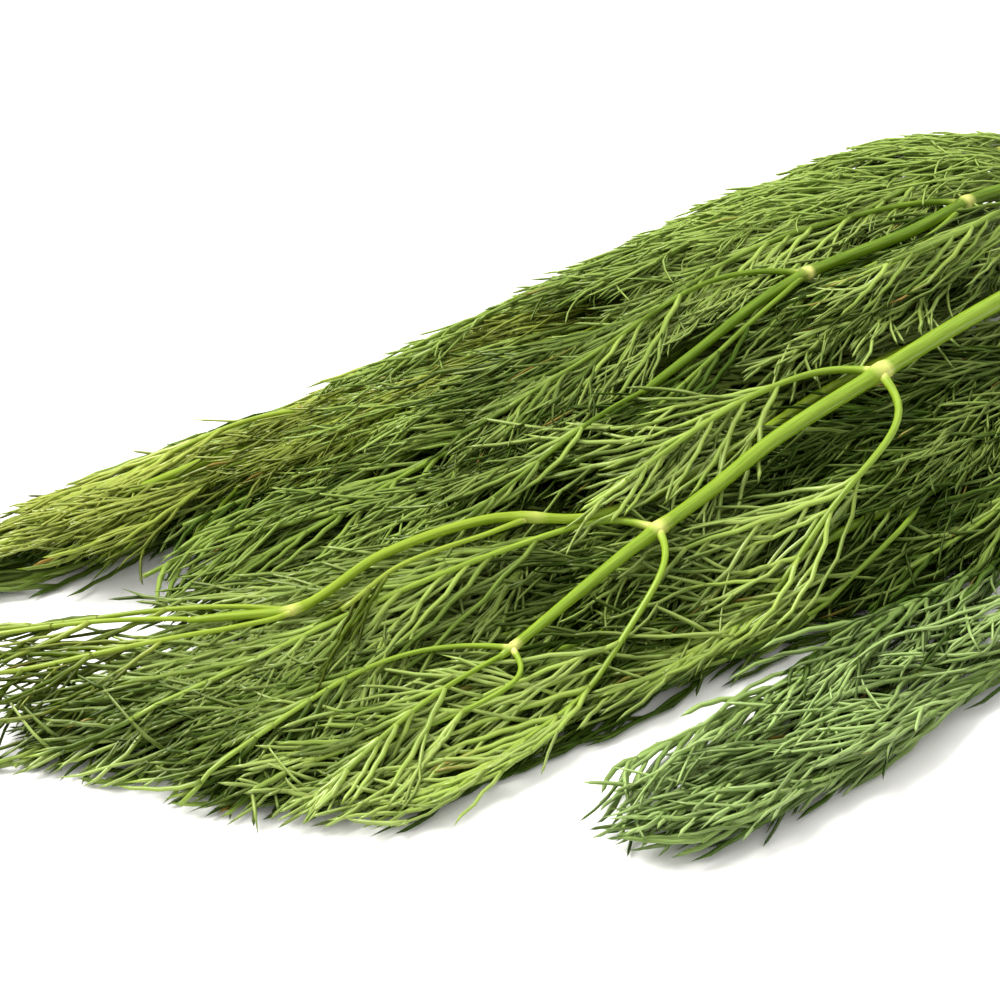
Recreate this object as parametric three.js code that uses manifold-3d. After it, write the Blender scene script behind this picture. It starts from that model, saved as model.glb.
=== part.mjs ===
// A bunch of cut dill: fourteen leafy stems lying in a heap on a table, in millimetres.
// +X points at the cut ends of the stems, +Y at the far side of the heap, +Z up; the table is z = 0.
// Each stem has grown together with its leaves, so each leafy stem is one closed solid of its own.
// A leaf is a bare stalk that runs on as its midrib; side ribs leave the midrib in turn, left and
// right, and thread-thin leaflets leave the side ribs. Everything that grows is swept forward,
// towards the tips of the stems, and bent clear of the neighbouring stems.

import * as THREE from 'three';
import { mergeVertices } from 'three/addons/utils/BufferGeometryUtils.js';
import Module from 'manifold-3d';

const wasm = await Module();
wasm.setup();

// ---- driving dimensions (mm) ----------------------------------------------------------------

const SEED = 27;
const CLEARANCE = 0.3; // least gap between two leafy stems
const OWN_CLEARANCE = 0.1; // least gap between two blades of one stem, away from their roots
const ROOT_RUN = 2.5; // length of a root, which may touch what grows beside it
const TABLE_GAP = 0.35; // least gap between a leaf and the table
const REST_FLAT = 0.05; // depth to which a lowest stem is pressed flat by its own weight
const STEM_LIFT = 0.3; // height of an upper stem in its own layer, as a share of the layer

const STEM_SIDES = 6;
const STEM_STEP = 40; // length of stem between two rings
const STEM_TAPER_RUN = 90; // run over which a stem thins towards its tip
const STEM_TIP_RADIUS = 0.95;
const SHEATH_GROWTH = 1.3; // swelling of the stem at a node
const SHEATH_RUN = 3.2; // half the length of that swelling

const RIB_SIDES = 4;
const RIB_RINGS = [0, 0.07, 0.18, 0.42, 0.7, 1]; // places of a midrib's rings, closest in its bend
const RIB_TIP_RADIUS = 0.56;
const RIB_THICKENING = 0.55; // growth of a stalk's base for each millimetre of its stem's growth
const BARE_SHARE = 0.27; // share of a leaf that is bare stalk, where its row doesn't say
const LEAF_LENGTH = 88;
const LEAF_SPREAD = 8; // how far a leaf stands off its stem
const LEAF_BEND = 9; // run over which it gets there
const LEAF_FALL = 55; // run over which it comes down to its layer
const LEAF_REST = 0.45; // height of a lying midrib in its layer, as a share of the layer

const SIDE_RIB_SPACING = 16; // length of leaf to each side rib, on a stem that shows
const SIDE_RIB_SHARE = 0.45; // length of the lowest side rib, as a share of the leaf
const SIDE_RIB_ROOT = 0.72; // radius of a side rib's root, as a share of the midrib's radius there
const SIDE_RIB_ANGLE = 28; // degrees from the midrib, less towards the leaf's tip
const SIDE_RIB_SWEEP = 0.2; // how far its end is swept forward, as a share of its length
const LEAFLETS = 1; // leaflets on a leaf, on its lowest side ribs
const LEAFLET_PLACE = 0.22; // share of a side rib where its leaflet stands
const LEAFLET_LENGTH = 13;
const LEAFLET_RADIUS = 0.3;
const BLADE_SIDES = 3;

// The heap in plan: its near and far edges, and the thickness of one layer of stems and leaves,
// each as rows of [x, value]. A layer thins out towards the edges of the heap.
const NEAR_EDGE = [[-150, 18], [-131, -6], [-118, -27], [-109, -50], [-98, -59], [-80, -68], [-45, -72],
  [-15, -77], [10, -81], [30, -92], [60, -98], [100, -98], [150, -88], [200, -84], [250, -74]];
const FAR_EDGE = [[-150, 50], [-100, 70], [-50, 62], [0, 56], [50, 54], [100, 52], [150, 45], [200, 12],
  [250, -20]];
const LAYER = [[-150, 2.6], [-100, 4.5], [-48, 6.9], [-6, 8.8], [58, 10.6], [100, 10.8], [150, 10.2],
  [200, 8], [250, 5.9]];
const EDGE_LAYER_SHARE = 0.25;
const EDGE_MARGIN = 1; // least distance of a side rib's end inside the edges
const EDGE_PUSH = 8; // most that a side rib's end is pushed inward

// The front frond lies outside those edges and has its own. The stem on top of the far side keeps
// off the top stem. At the tips the heap parts in two, with a cleft between the far fronds and the rest.
const FRONT_NEAR = [[-58, -103], [-45, -113], [-10, -117], [20, -112], [60, -108], [150, -97]];
const FRONT_FAR = [[-58, -94], [-30, -95], [0, -91], [33, -92], [60, -87], [150, -62]];
const BACK_NEAR = [[-100, -16], [0, -30], [60, -40], [110, -46], [150, -50], [250, -50]];
const CLEFT_FAR = [[-132, 55], [-103, 41], [-82, 18], [-50, -10], [0, -40], [250, -60]];
const CLEFT_NEAR = [[-132, 6], [-118, 17], [-92, 2], [-80, 12], [-50, 30], [0, 56], [250, 0]];

const FRESH_GREEN = '#5f9a2c';
const DEEP_GREEN = '#4c8430';
const BLUE_GREEN = '#4a7d43';
const YELLOW_GREEN = '#86a832';

const BURIED = { sideRibSpacing: 22, leaflets: 0 }; // on a stem in the middle of the heap

// Each stem's route is rows of [x, y, layer] from its tip to its cut end. Layer 0 lies on the table.
// Nodes are the places x along the stem where two leaves stand opposite each other. The stems are
// listed from the top of the heap down: those listed first take their room first.
const SPRIGS = [
  { name: 'sprig_top', radius: 2.3, colour: FRESH_GREEN, nodes: [], sideRibSpacing: 12, tipLeaf: 45,
    ceiling: 0.5,
    route: [[-49.5, -54.6, 3], [-5, -53.5, 3], [27, -54, 3], [60, -55, 3], [99, -54, 3], [150, -52, 3],
      [200, -51, 3], [250, -52, 3]],
    leaves: [
      { x: 138, side: 1, length: 74, spread: 22, bend: 14, fall: 60, rest: 0.15, ceiling: 0.35 },
      { x: 60, side: 1, length: 64, spread: 10.5, bend: 6, fall: 70, rest: 0.7, ceiling: 0.5 },
      { x: 60, side: -1, length: 84, spread: 20, bend: 8, fall: 60, rest: 0.7 },
      { x: -5, side: 1, length: 106, spread: 9, bend: 3, fall: 90, drift: 0.27, rest: 0.2, ceiling: 0.3,
        bare: 0.15 },
      { x: -5, side: -1, length: 74, spread: 12, bend: 6, fall: 40, drift: 0.04 },
      { x: -46, side: 1, length: 68, spread: 12, bend: 9, fall: 40, drift: 0.1 },
      { x: -46, side: -1, length: 50, spread: 11, bend: 3, fall: 30, drift: -0.4, rest: 0.15 },
    ] },
  { name: 'sprig_back', radius: 1.8, colour: FRESH_GREEN, nodes: [], leafLength: 86, ceiling: 0.4,
    nearEdge: BACK_NEAR,
    route: [[18, -25, 3], [36, -24, 3.1], [57, -22, 3.2], [73, -21.5, 3.2], [105, -24.5, 3.2],
      [136, -24, 3.2], [190, -35, 3.1], [247, -44, 3]],
    leaves: [
      { x: 126, side: 1, length: 82, spread: 13, bend: 9, fall: 50, drift: 0.04, rest: 0.5 },
      { x: 73, side: 1, length: 78, spread: 14, bend: 9, fall: 50, drift: 0.05, rest: 0.5 },
      { x: 186, side: -1, length: 100, spread: 12, bend: 12, fall: 50, rest: 0.8 },
      { x: 126, side: -1, length: 66, spread: 4.5, bend: 14, fall: 60, rest: 0.2 },
      { x: 73, side: -1, length: 74, spread: 4.5, bend: 14, fall: 60, rest: 0.2 },
      { x: 186, side: 1, length: 80, spread: 14, bend: 9, fall: 50 },
    ] },
  { name: 'stalk_pale', radius: 1.2, colour: YELLOW_GREEN, nodes: [], tipLeaf: 44, ceiling: 0.5,
    farEdge: CLEFT_NEAR,
    route: [[-90, -8, 3.1], [-82, -15, 3.1], [-73, -22, 3.1], [-52, -23, 3.1], [-31, -31, 3.1],
      [-13, -42, 2.7], [20, -44, 2.1], [60, -43, 2], [100, -45, 2], [150, -47, 2], [200, -48, 2],
      [243, -48, 2]],
    leaves: [
      { x: -24, side: -1, length: 44, spread: 7, bend: 9, fall: 50 },
      { x: -74, side: 1, length: 56, spread: 2, bend: 6, fall: 40, drift: 0.02 },
      { x: -74, side: -1, length: 56, spread: 5, bend: 6, fall: 40, drift: 0.1 },
    ] },
  { name: 'sprig_far_top', radius: 1.6, colour: DEEP_GREEN, nodes: [162, 112, 200], leafLength: 80,
    route: [[48, 27, 3], [75, 20, 3], [110, 12, 3], [150, -2, 3], [200, -20, 3], [245, -36, 3]] },
  { name: 'sprig_front', radius: 2.0, colour: BLUE_GREEN, nodes: [96, 56, 20], leafLength: 84,
    loft: 10, sideRibSpacing: 13, spread: 10, nearEdge: FRONT_NEAR, farEdge: FRONT_FAR,
    route: [[0, -102, 0], [50, -102, 0], [100, -97, 0], [150, -83, 0], [200, -68, 0], [249, -58, 0]] },
  { name: 'sprig_near_cover', radius: 1.4, colour: DEEP_GREEN, nodes: [150, 104, 52], leafLength: 80,
    route: [[-8, -65, 2], [30, -72, 2], [70, -77, 2], [110, -75, 2], [150, -68, 2], [200, -60, 2],
      [250, -56, 2]] },
  { name: 'sprig_middle_cover', radius: 1.4, colour: DEEP_GREEN, nodes: [70, 6, 168],
    leafLength: 84, tipLeaf: 42, farEdge: CLEFT_NEAR,
    route: [[-44, 9, 2], [-30, 7, 2], [0, 3, 2], [50, -2, 2], [100, -8, 2], [150, -19, 2],
      [200, -32, 2], [246, -41, 2]] },
  { name: 'sprig_far_cover', radius: 1.6, colour: YELLOW_GREEN, nodes: [105, 42, -18], leafLength: 84,
    nearEdge: CLEFT_FAR,
    route: [[-74, 46, 2], [-50, 43, 2], [0, 34, 2], [50, 26, 2], [100, 17, 2], [150, 3, 2],
      [200, -14, 2], [250, -33, 2]] },
  { name: 'sprig_near_inner', radius: 1.5, colour: DEEP_GREEN, nodes: [66, 0, 125], leafLength: 86,
    tipLeaf: 48, ...BURIED,
    route: [[-60, -50, 1], [-20, -57, 1], [30, -63, 1], [80, -67, 1], [150, -60, 1], [200, -56, 1],
      [252, -53, 1]] },
  { name: 'sprig_far_edge', radius: 1.5, colour: DEEP_GREEN, nodes: [100, 30, 165], leafLength: 88,
    nearEdge: CLEFT_FAR,
    route: [[-46, 50, 1], [-20, 48, 1], [30, 42, 1], [80, 32, 1], [115, 21, 1], [150, 6, 1],
      [200, -19, 1], [248, -39, 1]] },
  { name: 'sprig_middle_inner', radius: 1.9, colour: FRESH_GREEN, nodes: [20, 100, 170],
    leafLength: 90, farEdge: CLEFT_NEAR, ...BURIED,
    route: [[-76, -9, 1], [-60, -10, 1], [0, -12, 1], [50, -15, 1], [100, -20, 1], [150, -28, 1],
      [200, -38, 1], [244, -46, 1]] },
  { name: 'sprig_near_low', radius: 1.9, colour: DEEP_GREEN, nodes: [30, 95], leafLength: 86,
    tipLeaf: 46, ...BURIED,
    route: [[-40, -56, 0], [0, -63, 0], [50, -75, 0], [100, -76, 0], [150, -68, 0], [200, -58, 0],
      [245, -51, 0]] },
  { name: 'sprig_middle_low', radius: 2.0, colour: DEEP_GREEN, nodes: [10, 80, 150],
    leafLength: 86, tipLeaf: 46, ...BURIED,
    route: [[-72, -32, 0], [-50, -36, 0], [0, -40, 0], [50, -42, 0], [100, -42, 0], [150, -43, 0],
      [200, -44, 0], [251, -44, 0]] },
  { name: 'sprig_far_low', radius: 2.1, colour: DEEP_GREEN, nodes: [45, 135], leafLength: 90,
    tipLeaf: 44, nearEdge: CLEFT_FAR, ...BURIED,
    route: [[-66, 36, 0], [-40, 30, 0], [0, 22, 0], [50, 12, 0], [100, 2, 0], [150, -12, 0],
      [200, -27, 0], [247, -37, 0]] },
];

// ---- random draws and smooth profiles -------------------------------------------------------

// A seeded stream of numbers from 0 to 1, one stream for each thing that grows.
function stream(...keys) {
  let state = SEED;
  for (const key of keys) {
    state = (Math.imul(state, 31) + key + 7) >>> 0;
    state = Math.imul(state ^ (state >>> 15), 0x2c1b3c6d) >>> 0;
  }
  return () => {
    state = (state + 0x6d2b79f5) >>> 0;
    let t = Math.imul(state ^ (state >>> 15), 1 | state);
    t = (t + Math.imul(t ^ (t >>> 7), 61 | t)) ^ t;
    return ((t ^ (t >>> 14)) >>> 0) / 4294967296;
  };
}

function between(random, low, high) {
  return low + (high - low) * random();
}

function clamp(value, low, high) {
  return Math.min(high, Math.max(low, value));
}

function smoothstep(value) {
  const u = clamp(value, 0, 1);
  return u * u * (3 - 2 * u);
}

// A smooth curve through rows whose first number is x; it runs on straight past both ends.
function profile(rows, x, column = 1) {
  const last = rows.length - 1;
  const slope = (row) => {
    const before = rows[Math.max(row - 1, 0)];
    const after = rows[Math.min(row + 1, last)];
    return (after[column] - before[column]) / (after[0] - before[0]);
  };
  if (x <= rows[0][0]) {
    return rows[0][column] + slope(0) * (x - rows[0][0]);
  }
  if (x >= rows[last][0]) {
    return rows[last][column] + slope(last) * (x - rows[last][0]);
  }
  let row = 0;
  while (x > rows[row + 1][0]) {
    row += 1;
  }
  const width = rows[row + 1][0] - rows[row][0];
  const u = (x - rows[row][0]) / width;
  const v = 1 - u;
  return (1 + 2 * u) * v * v * rows[row][column] + u * v * v * width * slope(row)
    + u * u * (3 - 2 * u) * rows[row + 1][column] - u * u * v * width * slope(row + 1);
}

// Thickness of one layer of the heap over a point of the table.
function layerThickness(x, y) {
  const near = profile(NEAR_EDGE, x);
  const far = profile(FAR_EDGE, x);
  const outward = Math.min(1, Math.abs((2 * y - near - far) / (far - near)));
  return profile(LAYER, x) * Math.max(EDGE_LAYER_SHARE, 1 - outward ** 3);
}

// How far in y a point moves to lie inside the edges of its sprig, or at least nearer to them.
function inward(sprig, x, y, margin) {
  const near = profile(sprig.nearEdge ?? NEAR_EDGE, x) + margin;
  const far = profile(sprig.farEdge ?? FAR_EDGE, x) - margin;
  return clamp(clamp(y, near, Math.max(near, far)) - y, -EDGE_PUSH, EDGE_PUSH);
}

// ---- curves that grow -----------------------------------------------------------------------

// The centreline of a stem, given by x alone.
class Stem {
  constructor(sprig) {
    this.sprig = sprig;
    this.tip = sprig.route[0][0];
    this.cut = sprig.route[sprig.route.length - 1][0];
  }

  radius(x) {
    const growth = 1 - Math.exp(-Math.max(0, x - this.tip) / STEM_TAPER_RUN);
    return STEM_TIP_RADIUS + (this.sprig.radius - STEM_TIP_RADIUS) * growth;
  }

  level(x) {
    return profile(this.sprig.route, clamp(x, this.tip, this.cut), 2);
  }

  point(x) {
    const y = profile(this.sprig.route, x);
    const level = this.level(x);
    const lift = STEM_LIFT * Math.min(1, level);
    const rest = this.radius(x) * Math.cos(Math.PI / STEM_SIDES) - REST_FLAT;
    return new THREE.Vector3(x, y, rest + layerThickness(x, y) * (level + lift));
  }

  // Sideways, level and square to the stem, on its far side.
  outward(x) {
    const slope = profile(this.sprig.route, x + 1) - profile(this.sprig.route, x - 1);
    return new THREE.Vector3(-slope / 2, 1, 0).normalize();
  }

  // The room between the layer below and the layer above a stem's leaves.
  room(x, y) {
    const thickness = layerThickness(x, y);
    const level = this.level(x);
    const low = Math.max(TABLE_GAP, thickness * level);
    const high = low + Math.max(this.sprig.loft ?? 0, thickness - CLEARANCE);
    return { low, high };
  }
}

// The stalk and midrib of a leaf: off to one side of its stem, then along beside it.
class Midrib {
  constructor(stem, leaf, lift, squeeze) {
    this.stem = stem;
    this.leaf = leaf;
    this.lift = lift;
    this.spread = leaf.spread * squeeze;
    this.start = stem.point(leaf.x);
  }

  point(share) {
    const { stem, leaf } = this;
    const run = share * leaf.length;
    const x = leaf.x - run;
    const offset = leaf.side * (this.spread * (1 - Math.exp(-run / leaf.bend)) + leaf.drift * run);
    const place = new THREE.Vector3(x, profile(stem.sprig.route, x), 0);
    place.addScaledVector(stem.outward(x), offset);
    const room = stem.room(place.x, place.y);
    const bed = room.low + (room.high - room.low) * leaf.rest + this.lift * smoothstep(share * 3);
    place.z = THREE.MathUtils.lerp(this.start.z, bed, smoothstep(run / leaf.fall));
    place.z = Math.max(place.z, RIB_TIP_RADIUS + TABLE_GAP);
    return place;
  }
}

// A short shoot off a rib: straight at first, then swept forward. Its end lies between floor and top.
class Shoot {
  constructor(start, reach, sweep, floor, top) {
    this.start = start;
    this.reach = reach;
    this.sweep = sweep;
    const end = start.clone().add(reach).add(sweep);
    this.rise = clamp(end.z, floor, Math.max(floor, top)) - start.z;
  }

  point(share) {
    const place = this.start.clone().addScaledVector(this.reach, share);
    place.addScaledVector(this.sweep, share * share);
    place.z = this.start.z + this.rise * share * (1.4 - 0.4 * share);
    return place;
  }
}

// The straight-sided run of a tube between its rings, where the roots of its shoots are set.
class Polyline {
  constructor({ points, radii }, shares) {
    this.points = points;
    this.radii = radii;
    this.shares = shares;
  }

  radius(share) {
    return THREE.MathUtils.lerp(this.radii[0], this.radii[this.radii.length - 1], Math.sqrt(share));
  }

  point(share) {
    let index = 0;
    while (index < this.shares.length - 2 && share > this.shares[index + 1]) {
      index += 1;
    }
    const width = this.shares[index + 1] - this.shares[index];
    const part = (share - this.shares[index]) / width;
    return this.points[index].clone().lerp(this.points[index + 1], part);
  }
}

// Direction of a curve, and the level direction square to it on its far side.
function frameAt(curve, share) {
  const back = curve.point(Math.max(0, share - 0.02));
  const along = curve.point(Math.min(1, share + 0.02)).sub(back).normalize();
  const across = new THREE.Vector3(along.y, -along.x, 0).normalize();
  return { along, across, upward: across.clone().cross(along) };
}

// A shoot that leaves a curve at a share of its length, at an angle to one side and a tilt upward.
// It may fill its stem's layer up to the ceiling, a share of the layer's height.
function shootFrom(stem, curve, shape, random) {
  const { share, side, length, angle, tilt, forward, ceiling } = shape;
  const low = between(random, 0.1, 1.2);
  const high = between(random, 0.4, 1.6);
  const { along, across, upward } = frameAt(curve, share);
  const reach = along.clone().multiplyScalar(Math.cos(angle));
  reach.addScaledVector(across, side * Math.sin(angle) * Math.cos(tilt));
  reach.addScaledVector(upward, Math.sin(angle) * Math.sin(tilt)).multiplyScalar(length);
  const sweep = along.clone().multiplyScalar(length * forward);
  const start = curve.point(share);
  const end = start.clone().add(reach).add(sweep);
  const push = inward(stem.sprig, end.x, end.y, EDGE_MARGIN + 2 * low);
  sweep.y += push;
  const room = stem.room(end.x, end.y + push);
  const floor = Math.max(room.low + low, TABLE_GAP + LEAFLET_RADIUS);
  const top = THREE.MathUtils.lerp(room.low, room.high, ceiling) - high;
  return new Shoot(start, reach, sweep, floor, top);
}

// ---- solids ---------------------------------------------------------------------------------

function toSolid(geometry) {
  geometry.deleteAttribute('normal');
  geometry.deleteAttribute('uv');
  const merged = mergeVertices(geometry, 1e-5);
  return new wasm.Manifold(new wasm.Mesh({
    numProp: 3,
    vertProperties: new Float32Array(merged.attributes.position.array),
    triVerts: new Uint32Array(merged.index.array),
  }));
}

function toGeometry(solid) {
  const mesh = solid.getMesh();
  const geometry = new THREE.BufferGeometry();
  geometry.setAttribute('position', new THREE.BufferAttribute(mesh.vertProperties, 3));
  geometry.setIndex(new THREE.BufferAttribute(mesh.triVerts, 1));
  geometry.computeVertexNormals();
  return geometry;
}

// A closed tube through a row of points, each with its own radius; the last radius may be 0.
// One of its sides lies level underneath.
function tube(points, radii, sides) {
  const steps = points.length - 1;
  const tip = radii[steps] === 0 ? 0 : 1;
  const geometry = new THREE.CylinderGeometry(tip, 1, 1, sides, steps, false, Math.PI / sides);
  const place = geometry.attributes.position;
  const along = new THREE.Vector3();
  const across = new THREE.Vector3();
  const upward = new THREE.Vector3();
  for (let index = 0; index < place.count; index += 1) {
    const ring = Math.round((place.getY(index) + 0.5) * steps);
    const turn = Math.atan2(place.getZ(index), place.getX(index));
    const centre = Math.hypot(place.getX(index), place.getZ(index)) < 1e-6;
    const radius = centre ? 0 : radii[ring];
    along.subVectors(points[Math.min(steps, ring + 1)], points[Math.max(0, ring - 1)]).normalize();
    across.set(along.y, -along.x, 0).normalize();
    upward.crossVectors(across, along);
    const spot = points[ring].clone();
    spot.addScaledVector(across, radius * Math.cos(turn));
    spot.addScaledVector(upward, radius * Math.sin(turn));
    place.setXYZ(index, spot.x, spot.y, spot.z);
  }
  return toSolid(geometry);
}

// ---- keeping the stems clear of each other --------------------------------------------------

class Neighbours {
  constructor() {
    this.cell = 5;
    this.step = 1.1;
    this.cells = new Map();
    this.count = 0;
  }

  samples({ points, radii }) {
    const found = [];
    let run = 0;
    for (let index = 0; index + 1 < points.length; index += 1) {
      const length = points[index].distanceTo(points[index + 1]);
      const count = Math.ceil(length / this.step);
      for (let part = 0; part <= count; part += 1) {
        const share = part / count;
        found.push({
          place: points[index].clone().lerp(points[index + 1], share),
          radius: THREE.MathUtils.lerp(radii[index], radii[index + 1], share),
          run: run + length * share,
        });
      }
      run += length;
    }
    return found;
  }

  key(place, dx = 0, dy = 0, dz = 0) {
    const cell = (value) => Math.floor(value / this.cell) + 100;
    return ((cell(place.x) + dx) * 1000 + cell(place.y) + dy) * 1000 + cell(place.z) + dz;
  }

  // Keeps the room that a tube takes, and returns the tube's number.
  add(owner, line) {
    this.count += 1;
    for (const sample of this.samples(line)) {
      const key = this.key(sample.place);
      if (!this.cells.has(key)) {
        this.cells.set(key, []);
      }
      this.cells.get(key).push({ owner, number: this.count, ...sample });
    }
    return this.count;
  }

  near(place) {
    const found = [];
    for (const dx of [-1, 0, 1]) {
      for (const dy of [-1, 0, 1]) {
        for (const dz of [-1, 0, 1]) {
          found.push(...(this.cells.get(this.key(place, dx, dy, dz)) ?? []));
        }
      }
    }
    return found;
  }

  // Whether a tube that grows from the tube numbered parent stands clear of everything else.
  isClear(owner, parent, line) {
    for (const sample of this.samples(line)) {
      for (const other of this.near(sample.place)) {
        const own = other.owner === owner;
        const exempt = own && (other.number === parent || Math.min(sample.run, other.run) < ROOT_RUN);
        const reach = sample.radius + other.radius + (own ? OWN_CLEARANCE : CLEARANCE);
        const limit = reach * reach + 0.5 * this.step * this.step;
        if (!exempt && sample.place.distanceToSquared(other.place) < limit) {
          return false;
        }
      }
    }
    return true;
  }
}

const neighbours = new Neighbours();

// Takes the first of several tries that stands clear, and keeps its room; null where none does.
function firstClear(owner, parent, tries) {
  for (const attempt of tries) {
    const grown = attempt();
    if (neighbours.isClear(owner, parent, grown)) {
      return { ...grown, number: neighbours.add(owner, grown) };
    }
  }
  return null;
}

// ---- growing the bunch ----------------------------------------------------------------------

function nodePlaces(sprig) {
  return [...new Set([...sprig.nodes, ...(sprig.leaves ?? []).map((leaf) => leaf.x)])];
}

function growStem(sprig, owner) {
  const stem = new Stem(sprig);
  const nodes = nodePlaces(sprig);
  const stations = [];
  const count = Math.ceil((stem.cut - stem.tip) / STEM_STEP);
  for (let index = 0; index <= count; index += 1) {
    const x = stem.tip + ((stem.cut - stem.tip) * index) / count;
    const end = index === 0 || index === count;
    if (end || nodes.every((node) => Math.abs(node - x) > STEM_STEP / 2)) {
      stations.push([x, 1]);
    }
  }
  for (const node of nodes) {
    stations.push([node - SHEATH_RUN, 1], [node, SHEATH_GROWTH], [node + SHEATH_RUN, 1]);
  }
  stations.sort((one, other) => other[0] - one[0]);
  const points = stations.map(([x]) => stem.point(x));
  const radii = stations.map(([x, growth]) => stem.radius(x) * growth);
  const number = neighbours.add(owner, { points, radii });
  return { sprig, owner, stem, number, tubes: [{ points, radii, sides: STEM_SIDES }], leaves: [] };
}

// The leaves of a stem: a pair at each node and one that carries on from the tip.
function leafPlan({ sprig, owner, stem }) {
  const plan = [...(sprig.leaves ?? [])];
  sprig.nodes.forEach((x, node) => {
    for (const side of [1, -1]) {
      const random = stream(owner, node, side + 1);
      plan.push({
        x: x + between(random, -0.8, 0.8),
        side,
        length: sprig.leafLength * (1 - 0.1 * node) * between(random, 0.9, 1.08),
        spread: (sprig.spread ?? LEAF_SPREAD) * between(random, 0.75, 1.25),
        bend: LEAF_BEND * between(random, 0.7, 1.4),
        fall: LEAF_FALL * between(random, 0.7, 1.2),
        drift: between(random, 0.0, 0.1),
        rest: LEAF_REST * between(random, 0.7, 1.4),
      });
    }
  });
  const tipLength = sprig.tipLeaf ?? 0.62 * (sprig.leafLength ?? LEAF_LENGTH);
  plan.push({ x: stem.tip + 1.5, side: 1, length: tipLength, spread: 0.6, bend: 9, fall: 40 });
  const ceiling = sprig.ceiling ?? 1;
  return plan.map((leaf) => ({ drift: 0, rest: LEAF_REST, ceiling, ...leaf }));
}

function growMidribs(plant) {
  const ways = [];
  for (const squeeze of [1, 0.85, 1.15, 0.7, 1.3]) {
    for (const lift of [0, 1.6, -1.6, 3.2, -3.2, 5]) {
      ways.push([lift, squeeze]);
    }
  }
  leafPlan(plant).forEach((leaf, place) => {
    const growth = plant.stem.radius(leaf.x) - STEM_TIP_RADIUS;
    const base = RIB_TIP_RADIUS + RIB_THICKENING * growth;
    const thinning = (share) => THREE.MathUtils.lerp(base, RIB_TIP_RADIUS, Math.sqrt(share));
    const rib = firstClear(plant.owner, plant.number, ways.map(([lift, squeeze]) => () => {
      const midrib = new Midrib(plant.stem, leaf, lift, squeeze);
      return { points: RIB_RINGS.map((share) => midrib.point(share)), radii: RIB_RINGS.map(thinning) };
    }));
    if (rib) {
      const curve = new Polyline(rib, RIB_RINGS);
      plant.tubes.push({ ...rib, sides: RIB_SIDES });
      plant.leaves.push({ leaf, place, curve, number: rib.number, sideRibs: [] });
    }
  });
}

// Side ribs stand by turns on the two sides of a midrib and shorten towards the leaf's tip.
function growSideRibs(plant) {
  for (const grown of plant.leaves) {
    const spacing = plant.sprig.sideRibSpacing ?? SIDE_RIB_SPACING;
    const count = Math.round(grown.leaf.length / spacing);
    for (let rib = 0; rib < count; rib += 1) {
      const random = stream(plant.owner, grown.place, rib, 5);
      const height = (rib + 0.4) / count;
      const bare = grown.leaf.bare ?? BARE_SHARE;
      const share = bare + (1 - bare) * height;
      const side = rib % 2 ? -1 : 1;
      const fullLength = grown.leaf.length * SIDE_RIB_SHARE * (1 - 0.62 * height);
      const fullAngle = THREE.MathUtils.degToRad(SIDE_RIB_ANGLE * (1 - 0.4 * height));
      const { ceiling } = grown.leaf;
      const attempt = () => {
        const length = fullLength * between(random, 0.85, 1.1);
        const angle = fullAngle * between(random, 0.8, 1.15);
        const tilt = between(random, -0.7, 0.7);
        const shape = { share, side, length, angle, tilt, forward: SIDE_RIB_SWEEP, ceiling };
        const shoot = shootFrom(plant.stem, grown.curve, shape, random);
        const root = SIDE_RIB_ROOT * grown.curve.radius(share);
        return { points: [shoot.point(0), shoot.point(1)], radii: [root, 0] };
      };
      const blade = firstClear(plant.owner, grown.number, Array(6).fill(attempt));
      if (blade) {
        const curve = new Polyline(blade, [0, 1]);
        plant.tubes.push({ ...blade, sides: BLADE_SIDES });
        grown.sideRibs.push({ curve, rib, side, number: blade.number });
      }
    }
  }
}

function growLeaflets(plant) {
  const count = plant.sprig.leaflets ?? LEAFLETS;
  for (const grown of plant.leaves) {
    for (const { curve, rib, side, number } of grown.sideRibs.slice(0, count)) {
      const random = stream(plant.owner, grown.place, rib, 50);
      const attempt = () => {
        const share = LEAFLET_PLACE * between(random, 0.8, 1.2);
        const length = LEAFLET_LENGTH * between(random, 0.8, 1.25);
        const angle = between(random, 0.5, 0.85);
        const tilt = between(random, -0.9, 0.9);
        const shape = { share, side, length, angle, tilt, forward: 0, ceiling: 1 };
        const leaflet = shootFrom(plant.stem, curve, shape, random);
        return { points: [leaflet.point(0), leaflet.point(1)], radii: [LEAFLET_RADIUS, 0] };
      };
      const blade = firstClear(plant.owner, number, Array(5).fill(attempt));
      if (blade) {
        plant.tubes.push({ ...blade, sides: BLADE_SIDES });
      }
    }
  }
}

// ---- the bunch ------------------------------------------------------------------------------

const plants = SPRIGS.map(growStem);
plants.forEach(growMidribs);
plants.forEach(growSideRibs);
plants.forEach(growLeaflets);

const underTable = new THREE.BoxGeometry(600, 400, 20);
underTable.translate(50, 0, -10);
const underTableSolid = toSolid(underTable);

const bunch = new THREE.Group();
for (const plant of plants) {
  const solids = plant.tubes.map(({ points, radii, sides }) => tube(points, radii, sides));
  const fused = wasm.Manifold.union(solids).subtract(underTableSolid);
  const material = new THREE.MeshStandardMaterial({
    color: plant.sprig.colour,
    roughness: 0.5,
    metalness: 0,
  });
  const mesh = new THREE.Mesh(toGeometry(fused), material);
  mesh.name = plant.sprig.name;
  bunch.add(mesh);
}

// The bunch stands on the table with its box centred on the origin.
const box = new THREE.Box3().setFromObject(bunch);
const centre = box.getCenter(new THREE.Vector3());
bunch.position.set(-centre.x, -centre.y, 0);

export default bunch;
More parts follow.
